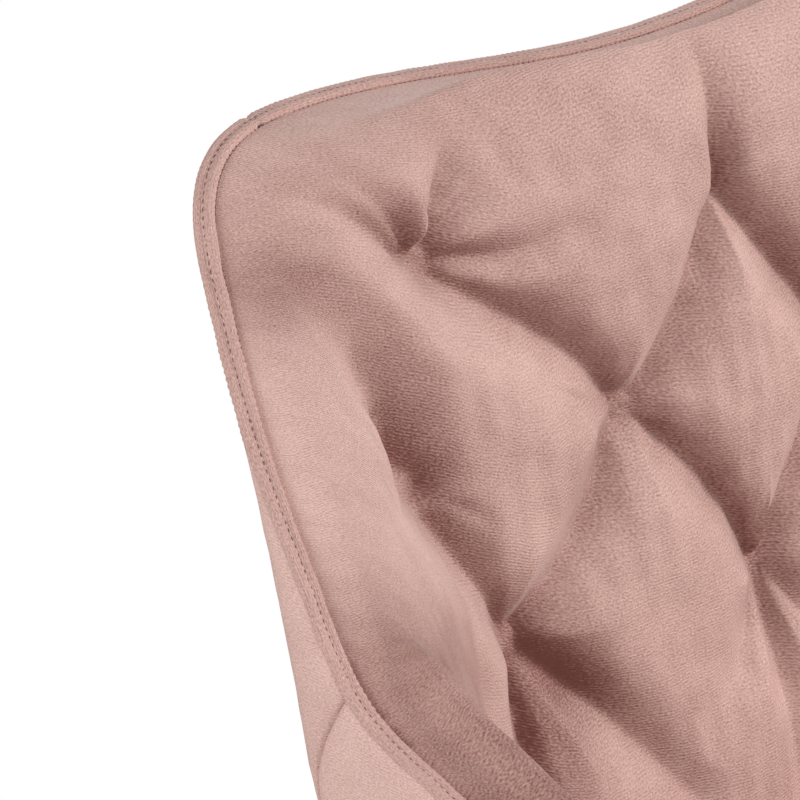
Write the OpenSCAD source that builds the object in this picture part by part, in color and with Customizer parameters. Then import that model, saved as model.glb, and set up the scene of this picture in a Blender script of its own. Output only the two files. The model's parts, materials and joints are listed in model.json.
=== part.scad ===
// Upholstered glider nursery chair: a tufted bucket shell hung on four swing
// links over a swivelling steel ring base. Z is up and the chair faces -Y.
// Left and right are the sitter's: left is +X, right is -X.

/* [Shell outline] */
// Width across the arms, measured at arm_ref_z
shell_width = 624; // [590:1:660]
// Depth from the arms' front edge level to the back of the backrest
shell_depth = 692; // [670:1:720]
// Height at which the plan below is measured
arm_ref_z = 650; // [640:1:660]
// Depth of the rounded corner between the back and the sides
corner_depth = 64; // [56:1:76]
// Squareness of that corner: 2 is an ellipse, more is squarer
corner_power = 3.6; // [3:0.1:4]
// Strength of the outward flare towards the top
flare = 0.078; // [0.06:0.002:0.09]
// How fast the flare grows with height, per 300 mm
flare_rate = 1.25; // [1.1:0.05:1.4]
// Backward lean of the back per millimetre of height
recline = 0.20; // [0.17:0.01:0.23]
// Forward drift of the corner per millimetre below arm_ref_z
corner_lean = 0.25; // [0.22:0.01:0.28]
// Backward rake of the front edge per millimetre below arm_ref_z
front_rake = 0.05; // [0.03:0.01:0.08]
// Height of the shell's bottom edge above the floor
skirt_z = 140; // [132:1:150]

/* [Rim] */
// Height of the rim at the middle of the back
back_mid_z = 934; // [915:1:950]
// Height of the rim at the upper corners
back_corner_z = 955; // [940:1:970]
// Distance of the upper corner from the middle, along the shell
corner_q = 278; // [268:1:288]
// Rounding of the upper corner
corner_round = 75; // [60:1:85]
// Distance of the arm's rear end from the middle, along the shell
bend_q = 351; // [345:1:362]
// Height of the arm's rear end
bend_z = 698; // [685:1:712]
// Rounding where the back's edge turns into the arm
bend_round = 35; // [28:1:45]
// Fall of the arm per millimetre at its rear end
arm_slope = 0.40; // [0.35:0.01:0.44]
// Fall of the arm per millimetre at its front end
arm_front_slope = 0.10; // [0.06:0.01:0.16]
// Rounding of the arm's front top corner
arm_front_round = 70; // [55:1:90]
// Diameter of each cord of the double welt
welt_diameter = 5.6; // [5:0.1:6.4]

/* [Upholstery] */
// Thickness of the outer cover with its wadding
cover_thickness = 6; // [5:0.5:7]
// Hollow between the outer cover and the shell board, where the tuft ties end
tie_hollow = 4; // [3.5:0.5:5]
// Thickness of the moulded shell board
board_thickness = 8; // [6:0.5:10]
// Thickness of the padding on the arms
arm_padding = 32; // [26:1:40]
// Thickness of the padding on the back
back_padding = 36; // [30:1:44]
// Squareness of the padded inner corner
pad_power = 3.1; // [2.6:0.1:3.4]
// Distance from the rim over which the padding rolls to its full thickness
pad_roll = 56; // [44:1:66]
// Assembly gap between neighbouring soft or wooden pieces
fit_gap = 0.3; // [0.2:0.05:0.5]
// Diameter of a tuft tie's washer
tie_washer_d = 16; // [12:1:20]
// Distance of the outer upper tufts from the middle, along the shell
upper_tuft_q = 228; // [214:1:240]
// Height of the outer upper tufts
upper_tuft_z = 877; // [865:1:888]
// Distance of the inner middle tufts from the middle
inner_tuft_q = 100; // [88:1:112]
// Height of the inner middle tufts
inner_tuft_z = 766; // [754:1:778]
// Distance of the wing tufts from the middle
wing_tuft_q = 276; // [264:1:288]
// Height of the wing tufts
wing_tuft_z = 779; // [766:1:792]
// Distance of the outer lower tufts from the middle
lower_tuft_q = 215; // [202:1:228]
// Height of the outer lower tufts
lower_tuft_z = 675; // [662:1:688]
// Height of the upper tuft on the middle line
top_tuft_z = 862; // [850:1:874]
// Height of the lower tuft on the middle line
bottom_tuft_z = 664; // [652:1:676]
// How deep a tuft is pulled into the padding
tuft_depth = 18; // [10:1:22]
// Width of the dimple round a tuft
tuft_spread = 38; // [28:1:46]

/* [Seat] */
// Height of the seat cushion's crown
seat_z = 474; // [462:1:486]
// Height of the cushion's underside
deck_z = 326; // [322:1:332]
// Overhang of the cushion in front of the arms
cushion_overhang = 12; // [6:1:18]
// Height of the seat rails
rail_height = 65; // [55:1:68]
// Thickness of the seat rails
rail_thickness = 30; // [26:1:34]
// Height of the seat rails' underside
rail_z = 250; // [246:1:254]
// Thickness of the board behind the front border
apron_board = 10; // [8:1:12]
// Thickness of the padding on the front border
apron_padding = 16; // [12:1:20]
// Number of sinuous seat springs
spring_count = 4; // [3:1:5]
// Wire diameter of the seat springs
spring_wire = 3.8; // [3:0.1:4.2]
// Distance between the bends of a spring
spring_pitch = 42; // [38:1:46]
// Width of a spring over its bends
spring_width = 54; // [48:1:60]

/* [Glide linkage] */
// Distance between a swing link's two pivots
link_length = 120; // [110:1:124]
// Width of a swing link
link_width = 24; // [22:1:28]
// Thickness of a swing link
link_thickness = 5; // [4:0.5:6]
// Distance between the front and the rear links
link_spread = 210; // [196:1:214]
// Height of the upper pivots
upper_pivot_z = 205; // [203:1:208]
// Largest swing of a link, each way
glide_angle = 25; // [20:1:26]
// Diameter of the pivot bolts
pivot_d = 12; // [10:0.5:13]
// Wall of the pivot bushes
bush_wall = 2; // [1.5:0.1:2.5]
// Running clearance of a bolt in its bush, on the radius
running_gap = 0.1; // [0.05:0.01:0.15]
// Thickness of the towers and the carriage plates
plate = 4; // [3.5:0.5:5]
// Distance from the chair's middle to the towers' inner faces
tower_x = 205; // [200:1:208]
// Diameter of the rubber stops
stop_d = 16; // [12:1:18]

/* [Swivel base] */
// Outer diameter of the floor ring
ring_d = 562; // [520:1:580]
// Diameter of the ring's tube
ring_tube_d = 22; // [20:1:25]
// Height of the floor glides under the ring
glide_h = 6; // [5:0.5:8]
// Number of floor glides
glide_count = 8; // [6:1:10]
// Width of a base arm
arm_bar_w = 36; // [30:1:40]
// Height of a base arm
arm_bar_h = 16; // [14:1:18]
// Diameter of the hub plate and the bearing races
hub_d = 188; // [180:1:196]
// Thickness of the hub plate and the swivel plate
hub_plate_t = 6; // [5:0.5:7]
// Diameter of the circle that the bearing balls run on
ball_circle_d = 152; // [148:1:156]
// Diameter of a bearing ball
ball_d = 8; // [7:0.5:9]
// Number of bearing balls
ball_count = 20; // [16:1:24]
// Thickness of each bearing race
race_t = 5; // [4.5:0.5:6]
// Gap between the two races
race_gap = 3; // [2.5:0.1:3.5]
// Diameter of the central pivot pin
pin_d = 18; // [16:1:20]
// Width of the swivel plate
swivel_plate_w = 220; // [200:1:240]
// Width of a cross beam
beam_w = 40; // [36:1:44]
// Height of a cross beam
beam_h = 25; // [22:1:28]
// Wall of a cross beam
beam_wall = 2; // [1.5:0.1:3]
// Distance of each cross beam from the middle
beam_y = 62; // [56:1:66]

/* [Hidden] */
$fn = 48;
sides = [1, -1];

velvet = "rosybrown";
velvet_light = "lightpink";
timber = "burlywood";
black_steel = "dimgray";
zinc = "silver";

// ---- Shell geometry -------------------------------------------------------
// A place on the shell is (q, z): q runs round the outer face from the middle
// of the back, positive to the sitter's left, and z is the height.

half_width = shell_width / 2;
// The middle of the depth is at the swivel axis: the cushion stands out in
// front by its overhang, and the welt behind by a quarter of its diameter.
centre_shift = (cushion_overhang - welt_diameter / 4) / 2;
arm_front_y = -shell_depth / 2 + centre_shift;
side_y = shell_depth / 2 + centre_shift - corner_depth - recline * (back_mid_z - arm_ref_z);
arm_run = side_y - arm_front_y;
plan_steps = 90;

function power(v, e) = v <= 0 ? 0 : pow(v, e);
function plan_point(i, p) =
    let (a = 90 * i / plan_steps) [power(sin(a), 2 / p), power(cos(a), 2 / p)];
function plan_step(i) = let (
    a = plan_point(i, corner_power), b = plan_point(i + 1, corner_power)
) norm([(b.x - a.x) * half_width, (b.y - a.y) * corner_depth]);
plan_q = [for (i = 0, s = 0; i <= plan_steps; s = s + plan_step(i), i = i + 1) s];
quarter_q = plan_q[plan_steps];
outer_x = [for (i = [0:plan_steps]) [plan_q[i], plan_point(i, corner_power).x]];
outer_y = [for (i = [0:plan_steps]) [plan_q[i], plan_point(i, corner_power).y]];
padded_x = [for (i = [0:plan_steps]) [plan_q[i], plan_point(i, pad_power).x]];
padded_y = [for (i = [0:plan_steps]) [plan_q[i], plan_point(i, pad_power).y]];

function flare_at(z) = 1 + flare * (exp(flare_rate * (z - arm_ref_z) / 300) - 1);
function side_y_at(z) = side_y + corner_lean * min(z - arm_ref_z, 0);
function back_y_at(z) = side_y + corner_depth + recline * (z - arm_ref_z);
function front_y_at(z) = arm_front_y + front_rake * max(arm_ref_z - z, 0);

// Point on a wall face that lies side_in and back_in inside the outer face.
function wall_point(q, z, table_x, table_y, side_in, back_in) = let (
    a = abs(q), run = max(a - quarter_q, 0) / arm_run,
    start = side_y_at(z) - back_in
) [
    sign(q) * (half_width - side_in) * lookup(a, table_x) * flare_at(z),
    start + (back_y_at(z) - side_y_at(z)) * lookup(a, table_y) - run * (start - front_y_at(z)),
    z
];
function outer(q, z) = wall_point(q, z, outer_x, outer_y, 0, 0);
function inward(q, z) = let (
    step = 2, d = outer(q + step, z) - outer(q - step, z)
) [d.y, -d.x, 0] / norm([d.x, d.y]);
function at_depth(q, z, t) = outer(q, z) + t * inward(q, z);

// ---- Rim ------------------------------------------------------------------
function bezier(a, b, c, t) = (1 - t) * (1 - t) * a + 2 * t * (1 - t) * b + t * t * c;
front_q = quarter_q + arm_run;
edge_dir = [bend_q - corner_q, bend_z - back_corner_z] / norm([bend_q - corner_q, bend_z - back_corner_z]);
arm_dir = [1, -arm_slope] / norm([1, -arm_slope]);
top_end = [corner_q - 0.8 * corner_round,
    back_corner_z + (back_mid_z - back_corner_z) * (1 + cos(180)) / 2];
corner_end = [corner_q, back_corner_z] + edge_dir * 0.8 * corner_round;
bend_start = [bend_q, bend_z] - edge_dir * bend_round;
bend_end = [bend_q, bend_z] + arm_dir * bend_round;
arm_span = front_q - bend_end.x;
function arm_z(q) = let (u = (q - bend_end.x) / arm_span)
    bend_end.y - arm_span * (arm_slope * u + (arm_front_slope - arm_slope) * u * u / 2);
arm_end = [front_q - arm_front_round, arm_z(front_q - arm_front_round)];
front_top = [front_q, arm_z(front_q)];
front_end = [front_q, front_top.y - arm_front_round];

rim_half = concat(
    [for (i = [0:6]) let (t = i / 7) [top_end.x * t,
        back_corner_z + (back_mid_z - back_corner_z) * (1 + cos(180 * t)) / 2]],
    [for (i = [0:7]) bezier(top_end, [corner_q, back_corner_z], corner_end, i / 7)],
    [for (i = [1:4]) corner_end + (bend_start - corner_end) * i / 5],
    [for (i = [0:4]) bezier(bend_start, [bend_q, bend_z], bend_end, i / 4)],
    [for (i = [1:7]) let (q = bend_end.x + (arm_end.x - bend_end.x) * i / 8) [q, arm_z(q)]],
    [for (i = [0:6]) bezier(arm_end, front_top, front_end, i / 6)]
);
front_edge = [for (i = [1:5]) front_end + [0, (skirt_z - front_end.y) * i / 5]];
rim_right = concat(rim_half, front_edge);
rim_last = len(rim_right) - 1;

function unit(v) = v / norm(v);
function rim_tangent(i) = i == 0 ? [1, 0]
    : unit(rim_right[min(i + 1, rim_last)] - rim_right[i - 1]);
// The rim moved d towards the middle of the shell's surface.
// The front edge's inset allows for q being squeezed lower down.
squeeze = (side_y_at(skirt_z) - front_y_at(skirt_z)) / arm_run;
front_station = 31;
function inset_rim(d) = [for (i = [0:len(rim_half) - 1])
    let (t = rim_tangent(i)) rim_half[i] + d * [t.y / (i < front_station ? 1 : squeeze), -t.x]];
function segment_distance(p, a, b) = let (along = b - a, u = max(0, min(1, (p - a) * along / (along * along))))
    norm(p - a - u * along);
function rim_distance(q, z) = min([for (i = [0:rim_last - 1])
    segment_distance([abs(q), z], rim_right[i], rim_right[i + 1])]);

welt_r = welt_diameter / 2;
rim_inset = welt_diameter + fit_gap;
inset = inset_rim(rim_inset);
inset_last = len(inset) - 1;
function inset_z(q) = lookup(abs(q), inset);
stations = [for (p = inset) p.x];
all_stations = concat([for (i = [inset_last:-1:1]) -stations[i]], stations);

// ---- Depths of the layers, from the outer face inwards ----------------------
board_depth = cover_thickness + tie_hollow;
board_inner = board_depth + board_thickness;
pad_depth = board_inner + fit_gap;
arm_total = pad_depth + arm_padding;
back_total = pad_depth + back_padding;

function padded(q, z, extra = 0) =
    wall_point(q, z, padded_x, padded_y, arm_total + extra, back_total + extra);
tufts = [
    [0, top_tuft_z], [0, bottom_tuft_z],
    for (s = sides) each [
        [s * upper_tuft_q, upper_tuft_z], [s * inner_tuft_q, inner_tuft_z],
        [s * wing_tuft_q, wing_tuft_z], [s * lower_tuft_q, lower_tuft_z]
    ]
];
function tuft_pull(q, z) = tuft_depth
    * max([for (t = tufts) exp(-pow(norm([q - t.x, z - t.y]) / tuft_spread, 2))]);
function pad_face(q, z) = let (
    away = min(rim_distance(q, z) / pad_roll, 1),
    swell = sqrt(away * (2 - away)),
    edge = at_depth(q, z, pad_depth + 5),
    full = padded(q, z)
) edge + swell * (full - edge) - tuft_pull(q, z) * swell * inward(q, z);

// ---- Solids from grids of points ----------------------------------------
// Closed sheet between two grids of points of one size.
module sheet(near, far) {
    cols = len(near);
    rows = len(near[0]);
    function id(side, i, j) = side * cols * rows + i * rows + j;
    // The diagonals turn over at the middle, so that both halves mirror each other.
    function quad(i, a, b, c, d) = 2 * i < cols - 1 ? [[a, b, d], [b, c, d]] : [[a, b, c], [a, c, d]];
    polyhedron(
        points = concat([for (c = near) each c], [for (c = far) each c]),
        faces = concat(
            [for (i = [0:cols - 2], j = [0:rows - 2])
                each quad(i, id(0, i, j), id(0, i + 1, j), id(0, i + 1, j + 1), id(0, i, j + 1))],
            [for (i = [0:cols - 2], j = [0:rows - 2])
                each quad(i, id(1, i + 1, j), id(1, i, j), id(1, i, j + 1), id(1, i + 1, j + 1))],
            [for (i = [0:cols - 2])
                each quad(i, id(0, i, 0), id(1, i, 0), id(1, i + 1, 0), id(0, i + 1, 0))],
            [for (i = [0:cols - 2]) let (j = rows - 1)
                each quad(i, id(1, i, j), id(0, i, j), id(0, i + 1, j), id(1, i + 1, j))],
            [for (j = [0:rows - 2])
                each quad(0, id(0, 0, j), id(0, 0, j + 1), id(1, 0, j + 1), id(1, 0, j))],
            [for (j = [0:rows - 2]) let (i = cols - 1)
                each quad(i, id(1, i, j), id(1, i, j + 1), id(0, i, j + 1), id(0, i, j))]
        ),
        convexity = 8
    );
}

// Closed solid through a row of rings, each counter-clockwise about the travel.
module loft(rings) {
    n = len(rings[0]);
    last = len(rings) - 1;
    function middle(ring) = [for (k = [0:2]) sum([for (p = ring) p[k]]) / n];
    first_middle = n * (last + 1);
    polyhedron(
        points = concat([for (r = rings) each r], [middle(rings[0]), middle(rings[last])]),
        faces = concat(
            [for (i = [0:n - 1]) [i, (i + 1) % n, first_middle]],
            [for (i = [0:n - 1]) [last * n + (i + 1) % n, last * n + i, first_middle + 1]],
            [for (k = [0:last - 1], i = [0:n - 1]) let (j = (i + 1) % n)
                each [[k * n + i, (k + 1) * n + i, (k + 1) * n + j], [k * n + i, (k + 1) * n + j, k * n + j]]]
        ),
        convexity = 8
    );
}
function sum(list) = [for (v = list) 1] * list;

// Sheet of the shell's wall over the stations, from height low to the inset rim,
// with a row at each share of the height above the deck. The sheets' rows agree,
// so that neighbouring faces stay parallel.
module wall_sheet(qs, shares, low, outer_face, inner_face) {
    start = deck_z + fit_gap;
    grid = [for (q = qs) concat(
        low < start ? [[q, low], [q, (low + start) / 2]] : [],
        [for (share = shares) [q, start + (inset_z(q) - start) * share]]
    )];
    sheet(
        [for (c = grid) [for (p = c) outer_face(p.x, p.y)]],
        [for (c = grid) [for (p = c) inner_face(p.x, p.y)]]
    );
}

// ---- Upholstery -------------------------------------------------------------
// The seam between the outer back and the outer sides leaves the rim at the
// bend and drifts towards the back as it runs down.
bend_station = 21;
function even_rows(n) = [for (j = [0:n]) j / n];
shell_rows = even_rows(6);
cover_rows = even_rows(8);
back_pad_rows = concat([for (share = even_rows(18)) if (share < 0.99) share], [0.975, 1]);
arm_pad_rows = concat([for (share = shell_rows) if (share < 0.99) share], [0.9, 0.95, 1]);
function halved(list) = concat([for (i = [0:len(list) - 2]) each [list[i], (list[i] + list[i + 1]) / 2]],
    [list[len(list) - 1]]);
seam_q = stations[bend_station];
seam_drift = 70;
seam_fall = 100;
function seam_shift(q, z) = let (
    a = abs(q), share = a < seam_q ? a / seam_q : (front_q - a) / (front_q - seam_q)
) sign(q) * seam_drift * share * (1 - exp(-max(inset_z(q) - z, 0) / seam_fall));
function cover_face(t) = function (q, z) at_depth(q - seam_shift(q, z), z, t);
function board_face(t) = function (q, z) at_depth(q, z, t);

module outer_back_cover() color(velvet_light)
    wall_sheet([for (q = all_stations) if (abs(q) <= seam_q) sign(q) * min(abs(q), seam_q - fit_gap)],
        cover_rows, skirt_z, cover_face(0), cover_face(cover_thickness));

module outer_side_cover_left() color(velvet_light)
    wall_sheet(halved([for (q = stations) if (q >= seam_q) q]),
        cover_rows, skirt_z, cover_face(0), cover_face(cover_thickness));
module outer_side_cover_right() mirror([1, 0, 0]) outer_side_cover_left();

module shell_board() color(timber) difference() {
    wall_sheet(all_stations, shell_rows, skirt_z + fit_gap,
        board_face(board_depth), board_face(board_inner));
    for (t = tufts) along_tuft(t) translate([0, 0, board_depth - 1])
        cylinder(d = tie_hole_d, h = board_thickness + 2);
    at_shell_bolts() cylinder(d = shell_bolt_d + 0.4, h = shell_bolt_reach + 4);
}

// The inner back reaches round both corners to the arms.
split_station = 19;
pad_split_q = stations[split_station];
pad_front = function (q, z) pad_face(q, z);
module back_pad() color(velvet) difference() {
    wall_sheet([for (q = all_stations) if (abs(q) <= pad_split_q) sign(q) * min(abs(q), pad_split_q - 3 * fit_gap)],
        back_pad_rows, deck_z + fit_gap, board_face(pad_depth + 5 * fit_gap), pad_front);
    for (t = tufts) along_tuft(t) translate([0, 0, board_depth]) cylinder(d = tie_hole_d, h = back_total);
}

module arm_pad_left() color(velvet)
    wall_sheet([for (q = stations) if (q >= pad_split_q) q], arm_pad_rows, deck_z + fit_gap,
        board_face(pad_depth + 2 * fit_gap), pad_front);
module arm_pad_right() mirror([1, 0, 0]) arm_pad_left();

// Two cords side by side, sewn over the joint of the covers.
welt_profile = [for (p = [
    [0, -1], [0.4, -0.3], [1, 0], [1.7, -0.4], [2.3, -0.4], [3, 0], [3.6, -0.3], [4, -1], [3, -2], [1, -2]
]) p * welt_r];
module rim_welt() color(velvet) {
    path = concat([for (i = [rim_last:-1:1]) [-rim_right[i].x, rim_right[i].y]], rim_right);
    middle = [for (p = path) outer(p.x, p.y)];
    last = len(path) - 1;
    loft([for (i = [0:last]) let (
        travel = unit(middle[min(i + 1, last)] - middle[max(i - 1, 0)]),
        n = inward(path[i].x, path[i].y),
        out = unit(cross(n, travel))
    ) [for (p = welt_profile) middle[i] + p.x * n + p.y * out]]);
}

// Turns and moves its child so that Z runs from the outer face inwards at a tuft.
module along_tuft(t) {
    n = inward(t.x, t.y);
    translate(outer(t.x, t.y)) rotate([0, 0, atan2(n.y, n.x)]) rotate([0, 90, 0]) children();
}
tie_d = 2;
tie_hole_d = 3;
tie_washer_t = 1.6;
// Each washer lies flat on the leaning board.
module tuft_ties() color("ivory")
    for (t = tufts) {
        pit = norm(pad_face(t.x, t.y) - outer(t.x, t.y));
        across_q = outer(t.x + 2, t.y) - outer(t.x - 2, t.y);
        up_z = outer(t.x, t.y + 2) - outer(t.x, t.y - 2);
        n = unit(cross(across_q, up_z));
        translate(at_depth(t.x, t.y, board_depth)) rotate([0, acos(n.z), atan2(n.y, n.x)])
            translate([0, 0, -tie_washer_t - 0.6]) cylinder(d = tie_washer_d, h = tie_washer_t);
        along_tuft(t) translate([0, 0, board_depth - 1]) cylinder(d = tie_d, h = pit - board_depth);
    }

// ---- Seat -------------------------------------------------------------------
rail_top = rail_z + rail_height;
rail_outer_x = half_width * flare_at(rail_z) - board_inner - 2 * fit_gap;
rail_inner_x = rail_outer_x - rail_thickness;
apron_face = 2;
function apron_y(z, t) = front_y_at(z) + apron_face + t;
front_rail_y = apron_y(rail_z, apron_padding + apron_board + 2 * fit_gap);
rear_rail_depth = 47;
rear_rail_y = at_depth(0, rail_z, board_inner).y - rear_rail_depth;

module wooden_rail(x0, x1, y0, y1) color(timber)
    translate([x0, y0, rail_z]) cube([x1 - x0, y1 - y0, rail_height]);
module left_rail() difference() {
    wooden_rail(rail_inner_x, rail_outer_x, front_rail_y, rear_rail_y - fit_gap);
    at_shell_bolts() cylinder(d = shell_bolt_d + 0.2, h = shell_bolt_reach);
    for (y = screw_ys) translate([screw_x, y, rail_z - 1]) cylinder(d = screw_d + 0.1, h = screw_depth + 1.2);
}
module right_rail() mirror([1, 0, 0]) left_rail();
module front_rail() wooden_rail(-rail_inner_x + fit_gap, rail_inner_x - fit_gap,
    front_rail_y, front_rail_y + rail_thickness);
// The rear rail's back is sawn to the curve of the shell board.
module rear_rail() color(timber) difference() {
    reach = quarter_q - 30;
    translate([0, 0, rail_z]) linear_extrude(rail_height) polygon(concat(
        [for (i = [-12:12]) let (p = at_depth(i / 12 * reach, rail_z, board_inner + fit_gap)) [p.x, p.y]],
        [for (s = sides) [s * at_depth(reach, rail_z, board_inner + fit_gap).x, rear_rail_y]]
    ));
    at_shell_bolts() cylinder(d = shell_bolt_d + 0.2, h = shell_bolt_reach);
}
// Triangular blocks glued into the frame's corners.
block_size = 58;
block_margin = 7;
module corner_blocks() color(timber) {
    x = rail_inner_x - fit_gap;
    front = front_rail_y + rail_thickness + fit_gap;
    rear = rear_rail_y - fit_gap;
    for (s = sides) on_side(s)
        translate([0, 0, rail_z + block_margin]) linear_extrude(rail_height - 2 * block_margin) {
            polygon([[x, front], [x, front + block_size], [x - block_size, front]]);
            polygon([[x, rear], [x - block_size, rear], [x, rear - block_size]]);
        }
}
// The sitter's left for s above zero, else its mirror image.
module on_side(s) if (s > 0) children(); else mirror([1, 0, 0]) children();

spring_r = spring_wire / 2;
spring_z = rail_top + spring_r + fit_gap;
rail_grip = 14;
spring_start = front_rail_y + rail_thickness - rail_grip;
spring_length = rear_rail_y + rail_grip - spring_start;
spring_bends = round(spring_length / spring_pitch);
pitch = spring_length / spring_bends;
spring_spacing = 2 * rail_inner_x / (spring_count + 1);
bend_r = pitch / 2;
rod_x = spring_width / 2 - bend_r;
module seat_springs() color(zinc)
    for (k = [1:spring_count]) translate([k * spring_spacing - rail_inner_x, spring_start, spring_z]) {
        for (i = [0:spring_bends])
            translate([-rod_x, i * pitch, 0]) rotate([0, 90, 0]) cylinder(r = spring_r, h = 2 * rod_x);
        for (i = [0:spring_bends - 1]) {
            side = (i % 2 == 0 ? 1 : -1) * (k > spring_count / 2 ? 1 : -1);
            translate([side * rod_x, (i + 0.5) * pitch, 0]) rotate([0, 0, side > 0 ? -90 : 90])
                rotate_extrude(angle = 180) translate([bend_r, 0]) circle(r = spring_r);
        }
    }
module spring_clips() color(black_steel) {
    length = 2 * rod_x - 4;
    for (k = [1:spring_count], y = [spring_start, spring_start + spring_length])
        translate([k * spring_spacing - rail_inner_x, y, rail_top]) rotate([90, 0, 90])
            translate([0, 0, -length / 2]) linear_extrude(length) difference() {
                translate([-6, 0]) square([12, spring_wire + 2 * fit_gap + 1.2]);
                translate([0, spring_r + fit_gap]) circle(r = spring_r + 0.1);
            }
}
dust_t = 1;
clip_top = rail_top + spring_wire + 2 * fit_gap + 1.2;
module spring_cover() color("darkgray")
    translate([-rail_outer_x, front_rail_y, clip_top + fit_gap])
        cube([2 * rail_outer_x, rear_rail_y - front_rail_y, deck_z - clip_top - 2 * fit_gap]);
// Stapled under the rails; the carriage screws pass through it.
module dust_cover() color("black") difference() {
    translate([4 - rail_outer_x, front_rail_y + 4, rail_z - dust_t - fit_gap])
        cube([2 * rail_outer_x - 8, rear_rail_y - front_rail_y + 4, dust_t]);
    for (s = sides, y = screw_ys) translate([s * screw_x, y, rail_z - dust_t - 1])
        cylinder(d = screw_d + 0.4, h = dust_t + 2);
}

// Outline of the cushion at a height, pulled in all round.
cushion_corner = 30;
function cushion_ring(z, pull) = let (
    slack = pull + 1,
    r = cushion_corner,
    y = arm_front_y - cushion_overhang + pull,
    start = side_y_at(z) - back_total - slack,
    last_q = quarter_q + arm_run * (start - y - r - 8) / (start - front_y_at(z)),
    side = [for (i = [3:-1:1]) quarter_q + (last_q - quarter_q) * i / 3],
    round_back = [for (i = [9:-1:1]) quarter_q * i / 9],
    half = concat(side, round_back),
    back = [for (q = concat(half, [0], [for (i = [len(half) - 1:-1:0]) -half[i]])) padded(q, z, slack)],
    x = back[0].x,
    corner = [for (a = [0:18:90]) [x - r + r * cos(a), y + r - r * sin(a), z]]
) concat(back, [for (c = corner) [-c.x, c.y, z]], [for (i = [5:-1:0]) corner[i]]);
module seat_cushion() color(velvet)
    loft([for (s = [[14, 0], [4, 7], [0, 24], [0, 0.62], [3, 0.78], [12, 0.9], [34, 0.97], [90, 1]])
        cushion_ring(s.y > 2 || s.x == 14 ? deck_z + fit_gap + s.y
            : deck_z + (seat_z - deck_z) * s.y, s.x)]);

module apron_slab(t0, t1, x, low, high) translate([-x, 0, 0]) rotate([90, 0, 90]) linear_extrude(2 * x)
    polygon([[apron_y(low, t0), low], [apron_y(low, t1), low],
        [apron_y(high, t1), high], [apron_y(high, t0), high]]);
apron_x = half_width * flare_at(skirt_z) - board_inner - fit_gap;
// The border's edges lap over the ends of the shell board, up to the welt.
module front_border() color(velvet_light) {
    apron_slab(0, apron_padding, apron_x, skirt_z, deck_z - fit_gap);
    apron_slab(0, rim_inset - apron_face - fit_gap, apron_x + board_inner - 2 * welt_diameter,
        skirt_z, deck_z - fit_gap);
}
module front_board() color(timber)
    apron_slab(apron_padding + fit_gap, apron_padding + fit_gap + apron_board, apron_x, skirt_z, rail_top);

shell_bolt_d = 6;
bolt_front_y = front_rail_y + rail_thickness + block_size + 14;
bolt_rear_y = rear_rail_y - block_size - 11.5;
shell_bolt_ys = [bolt_front_y, (bolt_front_y + bolt_rear_y) / 2, bolt_rear_y];
shell_bolt_xs = [-120, 120];
shell_bolt_reach = at_depth(0, rail_z, board_inner).y - rear_rail_y
    + recline * rail_height / 2 + board_thickness + 2;
// Puts its child at each bolt that joins a rail to the shell board, with Z
// running outwards from the rail's inner face.
module at_shell_bolts() {
    z = rail_z + rail_height / 2;
    for (s = sides, y = shell_bolt_ys) translate([s * rail_inner_x, y, z]) rotate([0, s * 90, 0])
        children();
    for (x = shell_bolt_xs) translate([x, rear_rail_y, z]) rotate([-90, 0, 0]) children();
}
module shell_bolts() color(zinc) {
    z = rail_z + rail_height / 2;
    for (s = sides, y = shell_bolt_ys) translate([s * rail_inner_x, y, z]) rotate([0, s * 90, 0])
        shell_bolt(rail_thickness + board_thickness + 2);
    for (x = shell_bolt_xs) translate([x, rear_rail_y, z]) rotate([-90, 0, 0])
        shell_bolt(shell_bolt_reach);
}
module shell_bolt(reach) {
    translate([0, 0, -5.05]) cylinder(d = 12, h = 5);
    translate([0, 0, -0.06]) cylinder(d = shell_bolt_d, h = reach);
}

// ---- Glide linkage ----------------------------------------------------------
pivot_y = link_spread / 2;
lower_pivot_z = upper_pivot_z - link_length;
flange_t = 1.7;
link_x = tower_x + plate + flange_t + 0.3;
link_out_x = link_x + link_thickness;
bush_out_x = link_out_x + flange_t;
nut_t = 6;
carriage_x = bush_out_x + nut_t + 2.6;
carriage_out_x = carriage_x + plate;
bush_r = pivot_d / 2 + running_gap + bush_wall;
bolt_head_d = 18;

// A plate that stands fore and aft: its outline is drawn in (y, z).
module upright(x, thickness) translate([x, 0, 0]) rotate([90, 0, 90]) linear_extrude(thickness) children();
// A cylinder that lies across the chair.
module across(x0, x1, y, z, d) translate([x0, y, z]) rotate([0, 90, 0]) cylinder(d = d, h = x1 - x0);

tower_half = pivot_y + 16;
tower_top = upper_pivot_z + 22;
tower_foot = 62;
tower_foot_h = 24;
tower_neck_z = lower_pivot_z + 27;
tower_chamfer = 8;
tower_hole_d = 36;
tower_lip = 16;
// Clear of the lower pivots' bolt heads when the links swing inwards.
tower_waist = pivot_y - link_length * sin(glide_angle) - bolt_head_d / 2 - 3;
swivel_plate_z = glide_h + ring_tube_d / 2 + arm_bar_h / 2 + hub_plate_t + 2 * race_t + race_gap;
beam_z = swivel_plate_z + hub_plate_t;
stop_r = stop_d / 2;
// Centre of a stop, from its link's upper pivot, touched at the largest swing.
stop_at = let (s = sin(glide_angle), c = cos(glide_angle), along = 0.4 * link_length,
    beside = link_width / 2 + stop_r + 0.5) [along * s + beside * c, -along * c + beside * s];

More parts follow.
